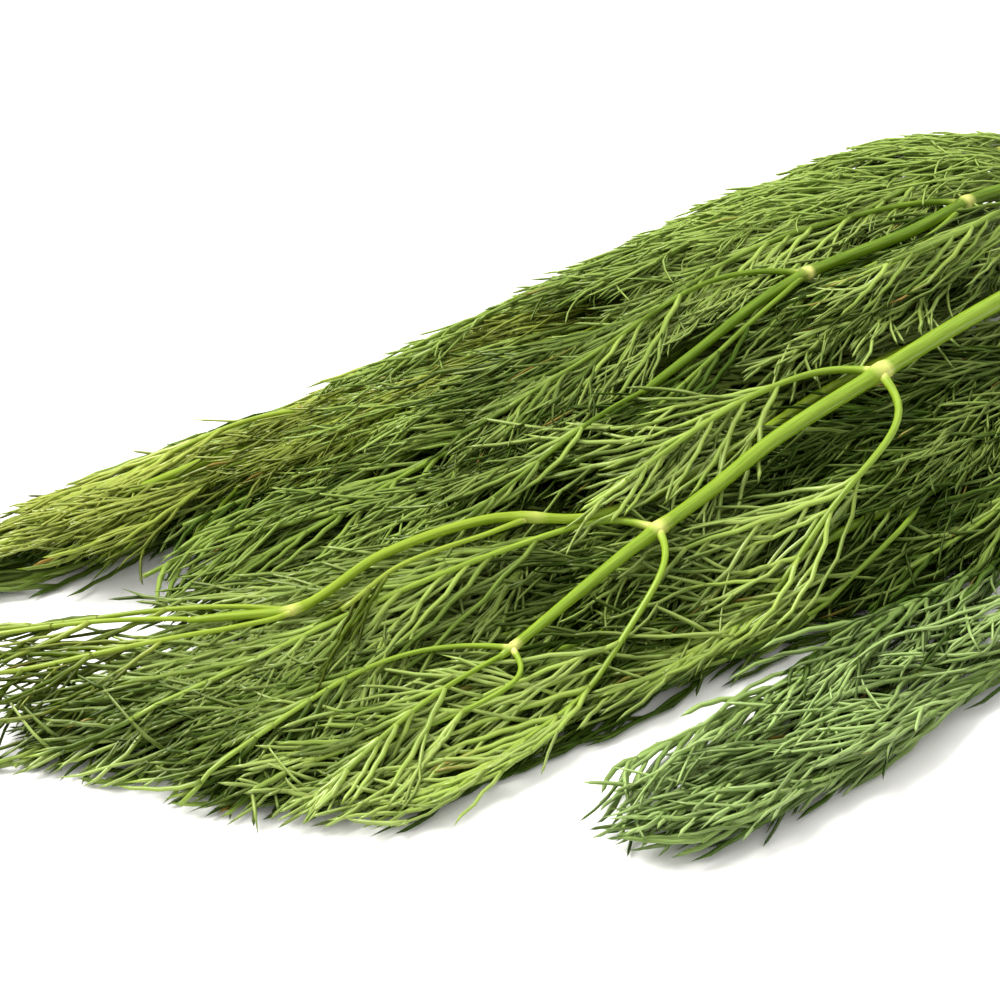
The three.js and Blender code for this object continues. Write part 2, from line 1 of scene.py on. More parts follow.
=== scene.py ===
"""The looks of a bunch of cut dill: leafy stems lying in a loose heap on a table.

Every leafy stem grows here along the same plan as its solid: the same stem, the same leaf stalks and
midribs, and the same side ribs. More side ribs then stand beside these, and all of them carry sprays of
thread-thin leaflets, which the solid has few of. Each leafy stem is one piece that stands for one node of
the frame.

The plan is in millimetres and in the heap's own plan coordinates: +X along the stems to their cut ends,
+Y to the far side and +Z up. Where it lies in the frame is read from the cut end of one stem.
"""

import sys

import logging
import math
from dataclasses import dataclass, field, fields, replace
from enum import Enum
from itertools import product
from typing import Sequence

import bmesh
import bpy
import numpy as np
from bpy.types import ID, Material, Node, NodeSocket, NodeTree, Object
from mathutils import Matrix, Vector
from numpy.random import Generator


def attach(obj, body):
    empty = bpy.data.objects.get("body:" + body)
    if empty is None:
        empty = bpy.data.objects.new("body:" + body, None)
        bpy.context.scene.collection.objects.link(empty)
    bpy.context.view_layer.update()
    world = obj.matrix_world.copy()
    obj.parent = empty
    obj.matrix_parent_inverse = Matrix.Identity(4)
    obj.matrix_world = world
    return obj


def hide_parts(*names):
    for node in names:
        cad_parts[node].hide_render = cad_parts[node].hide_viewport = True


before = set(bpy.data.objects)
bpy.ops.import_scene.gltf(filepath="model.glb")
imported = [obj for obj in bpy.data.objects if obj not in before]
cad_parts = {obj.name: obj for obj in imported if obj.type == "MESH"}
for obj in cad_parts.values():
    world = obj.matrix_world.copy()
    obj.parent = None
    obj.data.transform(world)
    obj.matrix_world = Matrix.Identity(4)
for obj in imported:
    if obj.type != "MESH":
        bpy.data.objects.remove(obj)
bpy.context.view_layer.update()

LOG = logging.getLogger("dill")
MM = 0.001
SEED = 27
WORD = 0xFFFFFFFF

# What each point of a piece carries: its marks are its tone, which also holds painted shade, and how pale,
# how dry and how much of a stalk it is, and its grain is where it lies in the streaks of its own tube.
MARKS = "marks"
GRAIN = "grain"

Row = tuple[float, ...]
Span = tuple[float, float]
Colour = tuple[float, float, float]
Array = np.ndarray


# ---- random draws and smooth profiles ----


class Draws:
    """A seeded stream of numbers from 0 to 1, one stream for each thing that grows."""

    spreader = 0x2C1B3C6D
    stride = 0x6D2B79F5

    def __init__(self, *keys: int) -> None:
        """Start a stream.

        Args:
            keys: The numbers that name the thing that grows.
        """
        self.state = SEED
        for key in keys:
            self.state = (self.state * 31 + key + 7) & WORD
            self.state = ((self.state ^ (self.state >> 15)) * self.spreader) & WORD

    def number(self) -> float:
        """Draw a number.

        Returns:
            The next number from 0 to 1.
        """
        self.state = (self.state + self.stride) & WORD
        mixed = ((self.state ^ (self.state >> 15)) * (1 | self.state)) & WORD
        mixed = (mixed + (((mixed ^ (mixed >> 7)) * (61 | mixed)) & WORD)) & WORD ^ mixed
        return (mixed ^ (mixed >> 14)) / (WORD + 1)

    def between(self, low: float, high: float) -> float:
        """Return the next number, from low to high."""
        return low + (high - low) * self.number()


def smoothstep(value: Array | float) -> Array | float:
    """Return a smooth rise from 0 to 1 over values from 0 to 1."""
    inner = np.clip(value, 0.0, 1.0)
    return inner * inner * (3.0 - 2.0 * inner)


def profile(rows: Sequence[Row], x: Array | float, column: int = 1) -> Array:
    """Return a smooth curve through rows whose first number is x, straight past both ends.

    Args:
        rows: The rows, in rising order of x.
        x: Where to read the curve.
        column: Which number of each row the curve goes through.

    Returns:
        The curve's values, of the same shape as x.
    """
    table = np.asarray(rows, float)
    knots = table[:, 0]
    values = table[:, column]
    order = np.arange(len(knots))
    before = np.maximum(order - 1, 0)
    after = np.minimum(order + 1, len(knots) - 1)
    slopes = (values[after] - values[before]) / (knots[after] - knots[before])
    x = np.asarray(x, float)
    row = np.clip(np.searchsorted(knots, x, side="left") - 1, 0, len(knots) - 2)
    width = knots[row + 1] - knots[row]
    u = (x - knots[row]) / width
    v = 1.0 - u
    inside = (
        (1 + 2 * u) * v * v * values[row]
        + u * v * v * width * slopes[row]
        + u * u * (3 - 2 * u) * values[row + 1]
        - u * u * v * width * slopes[row + 1]
    )
    below = values[0] + slopes[0] * (x - knots[0])
    above = values[-1] + slopes[-1] * (x - knots[-1])
    return np.where(x <= knots[0], below, np.where(x >= knots[-1], above, inside))


def unit(vectors: Array) -> Array:
    """Return the vectors at length 1."""
    length = np.linalg.norm(vectors, axis=-1, keepdims=True)
    return vectors / np.maximum(length, 1e-9)


def side_frame(along: Array) -> tuple[Array, Array]:
    """Return the level direction on the left of each direction, and the one square to both, upward."""
    across = unit(np.stack([-along[..., 1], along[..., 0], np.zeros_like(along[..., 0])], axis=-1))
    return across, np.cross(along, across)


# ---- the heap ----


@dataclass(frozen=True)
class Heap:
    """The heap in plan: its edges, and the thickness of one layer of stems and leaves."""

    near_edge: tuple[Row, ...] = (
        (-150, 18), (-131, -6), (-118, -27), (-109, -50), (-98, -59), (-80, -68), (-45, -72), (-15, -77),
        (10, -81), (30, -92), (60, -98), (100, -98), (150, -88), (200, -84), (250, -74),
    )
    far_edge: tuple[Row, ...] = (
        (-150, 50), (-100, 70), (-50, 62), (0, 56), (50, 54), (100, 52), (150, 45), (200, 12),
        (250, -20),
    )
    layer: tuple[Row, ...] = (
        (-150, 2.6), (-100, 4.5), (-48, 6.9), (-6, 8.8), (58, 10.6), (100, 10.8), (150, 10.2), (200, 8),
        (250, 5.9),
    )
    edge_share: float = 0.25
    clearance: float = 0.3
    table_gap: float = 0.35
    edge_push: float = 8.0
    lobe: float = 7.5
    lobe_waves: tuple[Row, ...] = ((0.3, 6.1, 0.0), (0.2, 2.7, 1.0))
    hollows: tuple[Row, ...] = (
        (25, 14, 12, 7), (35, -24, 10, 4), (-24, -1, 11, 5), (-60, -3, 11, 6),
        (-64, 22, 10, 6), (-50, -43, 13, 4.5), (62, 34, 9, 5),
    )
    hollow_level: float = 1.5

    def in_hollow(self, places: Array) -> Array:
        """Look which places lie in a hollow, where only the lowest leaves are seen.

        Args:
            places: Points of any number of lines.

        Returns:
            One truth value for each point.
        """
        x, y, wide, deep = np.array(self.hollows).T
        gaps = ((places[..., 0, None] - x) / wide) ** 2 + ((places[..., 1, None] - y) / deep) ** 2
        return (gaps < 1).any(axis=-1)

    def lobes(self, x: Array) -> Array:
        """Return how far inside the edges the outline of the finest leaflets lies at x."""
        return self.lobe * sum((deep * np.sin(x / run + turn) for deep, run, turn in self.lobe_waves), 0.5)

    def thickness(self, x: Array | float, y: Array | float) -> Array:
        """Work out how thick one layer of stems and leaves is.

        Args:
            x: Places along the heap.
            y: Places across it.

        Returns:
            The thickness over each of these points of the table.
        """
        near = profile(self.near_edge, x)
        far = profile(self.far_edge, x)
        outward = np.minimum(1.0, np.abs((2 * np.asarray(y, float) - near - far) / (far - near)))
        return profile(self.layer, x) * np.maximum(self.edge_share, 1 - outward**3)


HEAP = Heap()

# Edges in plan that single stems keep to: the frond in front, the thin stem behind, and the two sides of
# the cleft between the fronds at the tips.
FRONT_NEAR = ((-58, -103), (-45, -113), (-10, -117), (20, -112), (60, -108), (150, -97))
FRONT_FAR = ((-58, -94), (-30, -95), (0, -91), (33, -92), (60, -87), (150, -62))
BACK_NEAR = ((-100, -16), (0, -30), (60, -40), (110, -46), (150, -50), (250, -50))
CLEFT_FAR = ((-132, 55), (-103, 41), (-82, 18), (-50, -10), (0, -40), (250, -60))
CLEFT_NEAR = ((-132, 6), (-118, 17), (-92, 2), (-80, 12), (-50, 30), (0, 56), (250, 0))


class Kind(Enum):
    """The kinds of green in the bunch; each names its slot in the record."""

    FRESH = "fresh_green"
    DEEP = "deep_green"
    BLUE = "blue_green"
    YELLOW = "yellow_green"


@dataclass(frozen=True)
class LeafPlan:
    """Where one leaf leaves its stem, and how its stalk lies beside it."""

    x: float
    side: int
    length: float
    spread: float
    bend: float
    fall: float
    drift: float = 0.0
    rest: float = 0.45
    ceiling: float = 0.0
    clasp: float = 1.0
    tone: float = 0.0
    bare: float = 0.27


@dataclass(frozen=True)
class SprigPlan:
    """The plan of one leafy stem: its route as rows of x, y and layer, its nodes and its leaves.

    A tone is how light a thing is, from 0 to 1, and tip_tone is added to it towards the stem's tip; the
    low tones of stems that lie deep in the heap are painted shade. Of the side ribs, partners stand at
    each place of the solid's own, and early ones nearer to the leaf's root.
    Girth thickens the foliage, openness thins it out, combing turns it along its leaf, and inset keeps it
    inside the edges. Covered foliage may arch over what lies in its way.
    """

    name: str
    kind: Kind
    radius: float
    route: tuple[Row, ...]
    nodes: tuple[float, ...] = ()
    leaf_length: float = 88.0
    leaves: tuple[LeafPlan, ...] = ()
    loft: float = 0.0
    rib_spacing: float = 16.0
    tip_leaf: float = 0.0
    tip_tone: float = 0.0
    partners: int = 3
    early: int = 0
    tone: float = 0.45
    stem_tone: float = 0.5
    girth: float = 1.0
    openness: float = 1.0
    spread: float = 8.0
    ceiling: float = 1.0
    combing: float = 0.5
    inset: float = 0.0
    covered: bool = True
    near_edge: tuple[Row, ...] = HEAP.near_edge
    far_edge: tuple[Row, ...] = HEAP.far_edge

    def inward(self, x: Array, y: Array, margin: Array | float) -> Array:
        """Work out how far points move to lie inside the edges, or at least nearer to them.

        Args:
            x: Where the points are along the heap.
            y: Where they are across it.
            margin: How far inside the edges they are to lie.

        Returns:
            The points' ways in y.
        """
        near = profile(self.near_edge, x) + margin
        far = profile(self.far_edge, x) - margin
        return np.clip(np.clip(y, near, np.maximum(near, far)) - y, -HEAP.edge_push, HEAP.edge_push)


# ---- lines that grow ----


@dataclass(frozen=True)
class Stem:
    """The centreline of a stem, given by x alone."""

    plan: SprigPlan
    tip_radius: float = 0.95
    taper_run: float = 90.0
    solid_sides: int = 6
    rest_flat: float = 0.05
    lift: float = 0.3

    @property
    def tip(self) -> float:
        """Return the x of the stem's tip."""
        return self.plan.route[0][0]

    @property
    def cut(self) -> float:
        """Return the x of the stem's cut end."""
        return self.plan.route[-1][0]

    def radius(self, x: Array | float) -> Array:
        """Return the stem's radius at x."""
        growth = 1 - np.exp(-np.maximum(0.0, np.asarray(x, float) - self.tip) / self.taper_run)
        return self.tip_radius + (self.plan.radius - self.tip_radius) * growth

    def level(self, x: Array | float) -> Array:
        """Return the layer of the heap that the stem lies in at x."""
        return profile(self.plan.route, np.clip(x, self.tip, self.cut), 2)

    def points(self, x: Array | float) -> Array:
        """Follow the centreline.

        Args:
            x: Where to read it.

        Returns:
            Its points there.
        """
        x = np.asarray(x, float)
        y = profile(self.plan.route, x)
        level = self.level(x)
        rest = self.radius(x) * math.cos(math.pi / self.solid_sides) - self.rest_flat
        z = rest + HEAP.thickness(x, y) * (level + self.lift * np.minimum(1.0, level))
        return np.stack([x, y, z], axis=-1)

    def outward(self, x: Array | float) -> Array:
        """Return the level direction square to the stem, on its far side."""
        slope = (profile(self.plan.route, x + 1) - profile(self.plan.route, x - 1)) / 2
        return unit(np.stack([-slope, np.ones_like(slope), np.zeros_like(slope)], axis=-1))

    def room(self, x: Array, y: Array) -> tuple[Array, Array]:
        """Work out the room of this stem's leaves.

        Args:
            x: Places along the heap.
            y: Places across it.

        Returns:
            The heights of the layer below and of the layer above.
        """
        thickness = HEAP.thickness(x, y)
        low = np.maximum(HEAP.table_gap, thickness * self.level(x))
        return low, low + np.maximum(self.plan.loft, thickness - HEAP.clearance)


@dataclass(frozen=True)
class Midrib:
    """The stalk and midrib of a leaf: off to one side of its stem, then along beside it."""

    stem: Stem
    leaf: LeafPlan
    lift: float
    squeeze: float
    tip_radius: float = 0.56
    thickening: float = 0.55
    settling: float = 3.0

    def points(self, shares: Array) -> Array:
        """Follow the stalk and the midrib.

        Args:
            shares: Where to read them, as shares of the leaf's length.

        Returns:
            Their points there.
        """
        stem = self.stem
        leaf = self.leaf
        run = shares * leaf.length
        x = leaf.x - run
        spread = leaf.spread * self.squeeze
        offset = leaf.side * (spread * (1 - np.exp(-run / leaf.bend)) + leaf.drift * run)
        places = np.stack([x, profile(stem.plan.route, x), np.zeros_like(x)], axis=-1)
        places = places + stem.outward(x) * offset[:, None]
        low, high = stem.room(places[:, 0], places[:, 1])
        bed = low + (high - low) * leaf.rest + self.lift * smoothstep(shares * self.settling)
        start = stem.points(leaf.x)[2]
        z = start + (bed - start) * smoothstep(run / leaf.fall)
        places[:, 2] = np.maximum(z, self.tip_radius + HEAP.table_gap)
        return places

    def radii(self, shares: Array) -> Array:
        """Work out how thick the stalk and the midrib are.

        Args:
            shares: Where to read them, as shares of the leaf's length.

        Returns:
            Their radii there.
        """
        growth = float(self.stem.radius(self.leaf.x)) - self.stem.tip_radius
        base = self.tip_radius + self.thickening * growth
        return base + (self.tip_radius - base) * np.sqrt(shares)


# ---- keeping the stems clear of each other ----


@dataclass
class Neighbours:
    """The room that the stems and midribs take, as spheres along their lines.

    The facts of a sphere are its owner, the number of its line, its radius and its run along the line.
    """

    step: float = 1.1
    root_run: float = 2.5
    own_gap: float = 0.1
    places: Array = field(default_factory=lambda: np.zeros((0, 3)))
    facts: Array = field(default_factory=lambda: np.zeros((0, 4)))
    count: int = 0

    def samples(self, points: Array, radii: Array) -> tuple[Array, Array, Array]:
        """Walk along a line in small steps.

        Args:
            points: The line's points.
            radii: Its radii there.

        Returns:
            The places walked over, with their radii and their runs from the line's start.
        """
        found: list[Array] = []
        run = 0.0
        for index in range(len(points) - 1):
            gap = points[index + 1] - points[index]
            length = float(np.linalg.norm(gap))
            share = np.linspace(0.0, 1.0, math.ceil(length / self.step) + 1)[:, None]
            radius = radii[index] + (radii[index + 1] - radii[index]) * share
            found.append(np.hstack([points[index] + gap * share, radius, run + length * share]))
            run += length
        rows = np.vstack(found)
        return rows[:, :3], rows[:, 3], rows[:, 4]

    def add(self, owner: int, points: Array, radii: Array) -> int:
        """Keep the room of a line.

        Args:
            owner: The number of the sprig that it belongs to.
            points: The line's points.
            radii: Its radii there.

        Returns:
            The line's number.
        """
        self.count += 1
        places, radius, run = self.samples(points, radii)
        same = np.ones_like(radius)
        facts = np.stack([same * owner, same * self.count, radius, run], axis=-1)
        self.places = np.vstack([self.places, places])
        self.facts = np.vstack([self.facts, facts])
        return self.count

    def is_clear(self, owner: int, parent: int, points: Array, radii: Array) -> bool:
        """Look whether a line stands clear of all the kept ones.

        Args:
            owner: The number of the sprig that it belongs to.
            parent: The number of the line that it grows from, which it may touch.
            points: The line's points.
            radii: Its radii there.

        Returns:
            Whether it runs into nothing.
        """
        places, radius, run = self.samples(points, radii)
        near = self.near(places)
        facts = self.facts[near]
        gaps = places[:, None, :] - self.places[near][None, :, :]
        own = (facts[:, 0] == owner)[None, :]
        roots = np.minimum(run[:, None], facts[:, 3][None, :]) < self.root_run
        exempt = own & ((facts[:, 1] == parent)[None, :] | roots)
        reach = radius[:, None] + facts[:, 2][None, :] + np.where(own, self.own_gap, HEAP.clearance)
        limit = reach * reach + 0.5 * self.step * self.step
        return not bool(np.any(~exempt & ((gaps**2).sum(-1) < limit)))

    def near(self, places: Array, margin: float = 5.0) -> Array:
        """Return which of the kept spheres lie in or near the box of these places."""
        inside = (self.places > places.min(0) - margin) & (self.places < places.max(0) + margin)
        return np.all(inside, axis=1)

    def pierced(self, places: Array, radius: float, parent: int, owners: float = math.inf) -> Array:
        """Look which lines of places run into a kept line.

        Args:
            places: Points of many lines, as lines by points by three.
            radius: The lines' own radius.
            parent: The number of the line that they grow from, which they may touch.
            owners: Only lines of sprigs numbered below this one are looked at.

        Returns:
            One truth value for each line.
        """
        flat = places.reshape(-1, 3)
        near = (self.facts[:, 1] != parent) & (self.facts[:, 0] < owners)
        near = near & self.near(flat) if len(flat) else near & False
        if not near.any():
            return np.zeros(len(places), bool)
        gaps = flat[:, None, :] - self.places[near][None, :, :]
        reach = self.facts[near][:, 2][None, :] + radius
        hit = np.any((gaps**2).sum(-1) < reach * reach, axis=1)
        return hit.reshape(len(places), -1).any(axis=1)


# ---- tubes ----


@dataclass
class Lines:
    """Centre lines of like tubes, with a radius and marks at each ring."""

    places: Array
    radii: Array
    marks: Array


@dataclass
class Skin:
    """Vertices in millimetres, faces as rows of corners, and what each vertex carries."""

    places: Array
    corners: Array
    totals: Array
    marks: Array
    grain: Array


class Tube:
    """One closed tube, modelled once and then laid along any number of centre lines."""

    end = 0.5
    close = 0.01
    lid_inset = 0.12
    sides_per_groove = 3
    grain_across = 3.5
    grain_length = 9
    grain_apart = 50

    def __init__(self, sides: int, rings: int, pointed: bool, ridge: float = 0.0) -> None:
        """Model the tube.

        Args:
            sides: Faces around the tube.
            rings: Rings along the tube, both ends included.
            pointed: Whether the far end comes to a point.
            ridge: Depth of the grooves between its ridges, as a share of its radius.
        """
        self.sides = sides
        shape = bmesh.new()
        bmesh.ops.create_cone(
            shape, cap_ends=True, cap_tris=False, segments=sides, radius1=1, radius2=1, depth=2 * self.end
        )
        lengthwise = [edge for edge in shape.edges if self.rise(edge) > self.end]
        bmesh.ops.subdivide_edges(shape, edges=lengthwise, cuts=rings - 2)
        if pointed:
            top = [vert for vert in shape.verts if vert.co.z > self.end - self.close]
            bmesh.ops.pointmerge(shape, verts=top, merge_co=(0, 0, self.end))
        else:
            lids = [face for face in shape.faces if abs(face.normal.z) > 1 - self.close]
            bmesh.ops.inset_region(shape, faces=lids, thickness=self.lid_inset, use_even_offset=True)
        grooves = [vert for vert in shape.verts if self.in_groove(vert)]
        bmesh.ops.scale(shape, verts=grooves, vec=(1 - ridge, 1 - ridge, 1))
        bmesh.ops.recalc_face_normals(shape, faces=shape.faces)
        self.section = np.array([vert.co[:2] for vert in shape.verts])
        self.ring = np.array([round((vert.co.z + self.end) * (rings - 1)) for vert in shape.verts])
        self.corners = np.array([vert.index for face in shape.faces for vert in face.verts])
        self.totals = np.array([len(face.verts) for face in shape.faces])
        shape.free()

    @staticmethod
    def rise(edge: bmesh.types.BMEdge) -> float:
        """Return how far an edge climbs."""
        return abs(edge.verts[0].co.z - edge.verts[1].co.z)

    def in_groove(self, vert: bmesh.types.BMVert) -> bool:
        """Return whether a vertex lies between two ridges."""
        turn = math.atan2(vert.co.y, vert.co.x) / math.tau * self.sides
        return round(turn) % self.sides_per_groove == 0

    def lay(self, lines: Lines, key: int) -> Skin:
        """Return the tube laid along each of the lines.

        Args:
            lines: The centre lines.
            key: Seed of the offsets that keep the grain of two tubes apart.

        Returns:
            All the laid tubes.
        """
        ahead = np.concatenate([lines.places[:, 1:], lines.places[:, -1:]], axis=1)
        behind = np.concatenate([lines.places[:, :1], lines.places[:, :-1]], axis=1)
        across, upward = side_frame(unit(ahead - behind))
        radii = lines.radii[:, self.ring, None]
        sideways, height = (self.section[None, :, axis, None] * radii for axis in range(2))
        places = lines.places[:, self.ring] + across[:, self.ring] * sideways
        places = places + upward[:, self.ring] * height
        places[..., 2] = np.maximum(places[..., 2], 0.0)
        steps = np.linalg.norm(np.diff(lines.places, axis=1), axis=2)
        runs = np.concatenate([np.zeros((len(steps), 1)), np.cumsum(steps, axis=1)], axis=1)
        runs = runs[:, self.ring, None] / self.grain_length
        grain = np.concatenate([sideways * self.grain_across, height * self.grain_across, runs], axis=2)
        rng = np.random.default_rng([SEED, key])
        grain = grain + rng.uniform(0, self.grain_apart, (len(steps), 1, 3))
        first = np.arange(len(steps))[:, None] * len(self.ring)
        return Skin(
            places.reshape(-1, 3),
            (self.corners[None, :] + first).reshape(-1),
            np.tile(self.totals, len(steps)),
            lines.marks[:, self.ring].reshape(-1, 4),
            grain.reshape(-1, 3),
        )


def marks(count: int, *kinds: Array | float) -> Array:
    """Return the marks of lines of this many rings; each kind is given for all, each line or each ring."""
    shape = np.broadcast_shapes((1, count), *(np.shape(kind) for kind in kinds))
    return np.stack([np.broadcast_to(kind, shape) for kind in kinds], axis=-1)


# ---- shoots ----


@dataclass(frozen=True)
class Order:
    """One order of shoots: how it leaves the order before, and the tubes that it is made of."""

    tube: Tube
    rings: tuple[float, ...]
    widths: Span
    stalk: float
    together: int = 1
    spacing: float = 4.0
    length: float = 10.0
    lengths: Span = (0.6, 1.35)
    longest: float = 0.75
    taper: float = 0.4
    angle: float = 28.0
    angles: Span = (0.65, 1.35)
    tilt: float = 1.1
    forward: float = 0.3
    forwards: Span = (0.4, 1.6)
    curl: float = 0.08
    curled: float = 0.06
    curling: float = 3.0
    zigzag: float = 0.02
    floors: Span = (-0.6, 1.2)
    tops: Span = (-0.8, 1.6)
    tones: float = 0.1


@dataclass
class Shoots:
    """Many shoots at once: bent from fork to fork, swept forward, each within its layer."""

    start: Array
    reach: Array
    sweep: Array
    zigzag: Array
    rise: Array
    comb: Array
    tone: Array
    lead: Array
    rings: tuple[float, ...]
    arch: float = 0.4
    fork_reach: float = 0.15

    def __len__(self) -> int:
        """Return the number of shoots."""
        return len(self.start)

    @property
    def length(self) -> Array:
        """Return the shoots' lengths."""
        return np.linalg.norm(self.reach, axis=1)

    def kept(self, keep: Array) -> "Shoots":
        """Return the shoots for which keep is true, or at the places that it lists."""
        arrays = [part.name for part in fields(self) if part.type is Array]
        return replace(self, **{name: getattr(self, name)[keep] for name in arrays})

    def points(self, shares: Array) -> Array:
        """Follow every shoot.

        Args:
            shares: Where to read them, as shares of their lengths, given for all or shoot by shoot.

        Returns:
            Their points there, as shoots by points by three.
        """
        turns = np.array([0.0, *(1.0 if ring % 2 else -1.0 for ring in range(1, len(self.rings)))])
        shares = np.broadcast_to(shares, (len(self), shares.shape[-1]))
        wave = np.interp(shares, self.rings, turns)[..., None]
        climb = self.rise[:, None] * shares * (1 + self.arch - self.arch * shares)
        shares = shares[..., None]
        places = self.start[:, None] + self.reach[:, None] * shares
        places = places + self.sweep[:, None] * shares**2 + self.zigzag[:, None] * wave
        places[..., 2] = self.start[:, None, 2] + climb
        return places

    def along(self, share: Array) -> Array:
        """Work out which way the shoots run.

        Args:
            share: Where to look, as one share of each shoot's own length.

        Returns:
            Their directions, from before that place to past it.
        """
        ends = np.stack([share - self.fork_reach, share + self.fork_reach], axis=1)
        behind, ahead = np.moveaxis(self.points(np.clip(ends, 0, 1)), 1, 0)
        return unit(ahead - behind)


def grow_shoots(
    plan: SprigPlan, stem: Stem, parents: Shoots, order: Order, rng: Generator, ceiling: float
) -> Shoots:
    """Grow shoots from all the parents at their forks.

    Args:
        plan: The plan of the leafy stem.
        stem: The stem whose layer the shoots keep to.
        parents: What they grow from.
        order: How this order of shoots grows.
        rng: The draws.
        ceiling: How much of the layer's height they may fill.

    Returns:
        The shoots.
    """
    forks = np.array(parents.rings[1:-1])
    each = len(forks) * order.together
    owner = np.repeat(np.arange(len(parents)), each)
    fork = np.tile(np.repeat(np.arange(len(forks)), order.together), len(parents))
    gap = parents.length[owner] / (len(forks) + 1)
    keep = rng.random(len(owner)) < gap / (order.spacing * plan.openness)
    turn = np.tile(np.arange(each) % order.together, len(parents))
    owner, fork, turn = owner[keep], fork[keep], turn[keep]
    count = len(owner)
    parent = parents.kept(owner)
    share = forks[fork]
    start = parent.points(share[:, None])[:, 0]
    along = parent.along(share)
    side = parent.lead * (-1.0) ** (fork + turn)
    length = order.length * (1 - order.taper * share) * rng.uniform(*order.lengths, count)
    length = np.minimum(length, order.longest * parent.length)
    across, upward = side_frame(along)
    angle = np.radians(order.angle) * rng.uniform(*order.angles, count)
    tilt = rng.uniform(-order.tilt, order.tilt, count)
    outward = across * (side * np.sin(angle) * np.cos(tilt))[:, None]
    direction = along * np.cos(angle)[:, None] + outward
    direction = direction + upward * (np.sin(angle) * np.sin(tilt))[:, None]
    direction = unit(direction + parent.comb * plan.combing)
    reach = direction * length[:, None]
    forward = order.forward * rng.uniform(*order.forwards, count)
    curl = order.curl * rng.normal(0, 1, count)
    curl = curl * np.where(rng.random(count) < order.curled, order.curling, 1.0)
    bend = side_frame(direction)[0]
    sweep = (parent.comb * forward[:, None] + bend * curl[:, None]) * length[:, None]
    lead = np.where(rng.random(count) < 0.5, -1.0, 1.0)
    end = start + reach + sweep
    low, high = stem.room(end[:, 0], end[:, 1])
    high = low + (high - low) * ceiling
    floor = np.maximum(low + rng.uniform(*order.floors, count), HEAP.table_gap + HEAP.clearance)
    top = np.maximum(floor, high - rng.uniform(*order.tops, count))
    height = np.clip(end[:, 2], floor, top)
    tone = parent.tone + rng.normal(0, order.tones, count)
    return Shoots(
        start, reach, sweep, bend * (lead * order.zigzag * length)[:, None], height - start[:, 2],
        parent.comb, tone, lead, order.rings,
    )


# ---- finishes ----


class Signal:
    """A value in a material's nodes; Python's operators on it add Math nodes."""

    def __init__(self, tree: NodeTree, socket: NodeSocket) -> None:
        """Wrap one output socket."""
        self.tree = tree
        self.socket = socket

    def combined(self, operation: str, *values: "Signal | float") -> "Signal":
        """Add one Math node.

        Args:
            operation: What it does.
            values: What it works on.

        Returns:
            Its outcome.
        """
        node = self.tree.nodes.new("ShaderNodeMath")
        node.operation = operation
        for socket, value in zip(node.inputs, values):
            if isinstance(value, Signal):
                self.tree.links.new(value.socket, socket)
            else:
                socket.default_value = value
        return Signal(self.tree, node.outputs[0])

    def __add__(self, other: "Signal | float") -> "Signal":
        """Return the sum."""
        return self.combined("ADD", self, other)

    def __radd__(self, other: float) -> "Signal":
        """Return the sum."""
        return self.combined("ADD", other, self)

    def __sub__(self, other: "Signal | float") -> "Signal":
        """Return the difference."""
        return self.combined("SUBTRACT", self, other)

    def __rsub__(self, other: float) -> "Signal":
        """Return the difference from a number."""
        return self.combined("SUBTRACT", other, self)

    def __mul__(self, other: "Signal | float") -> "Signal":
        """Return the product."""
        return self.combined("MULTIPLY", self, other)

    def __rmul__(self, other: float) -> "Signal":
        """Return the product."""
        return self.combined("MULTIPLY", other, self)

    def clamped(self) -> "Signal":
        """Return the value kept from 0 to 1."""
        return self.combined("MINIMUM", self.combined("MAXIMUM", self, 0.0), 1.0)


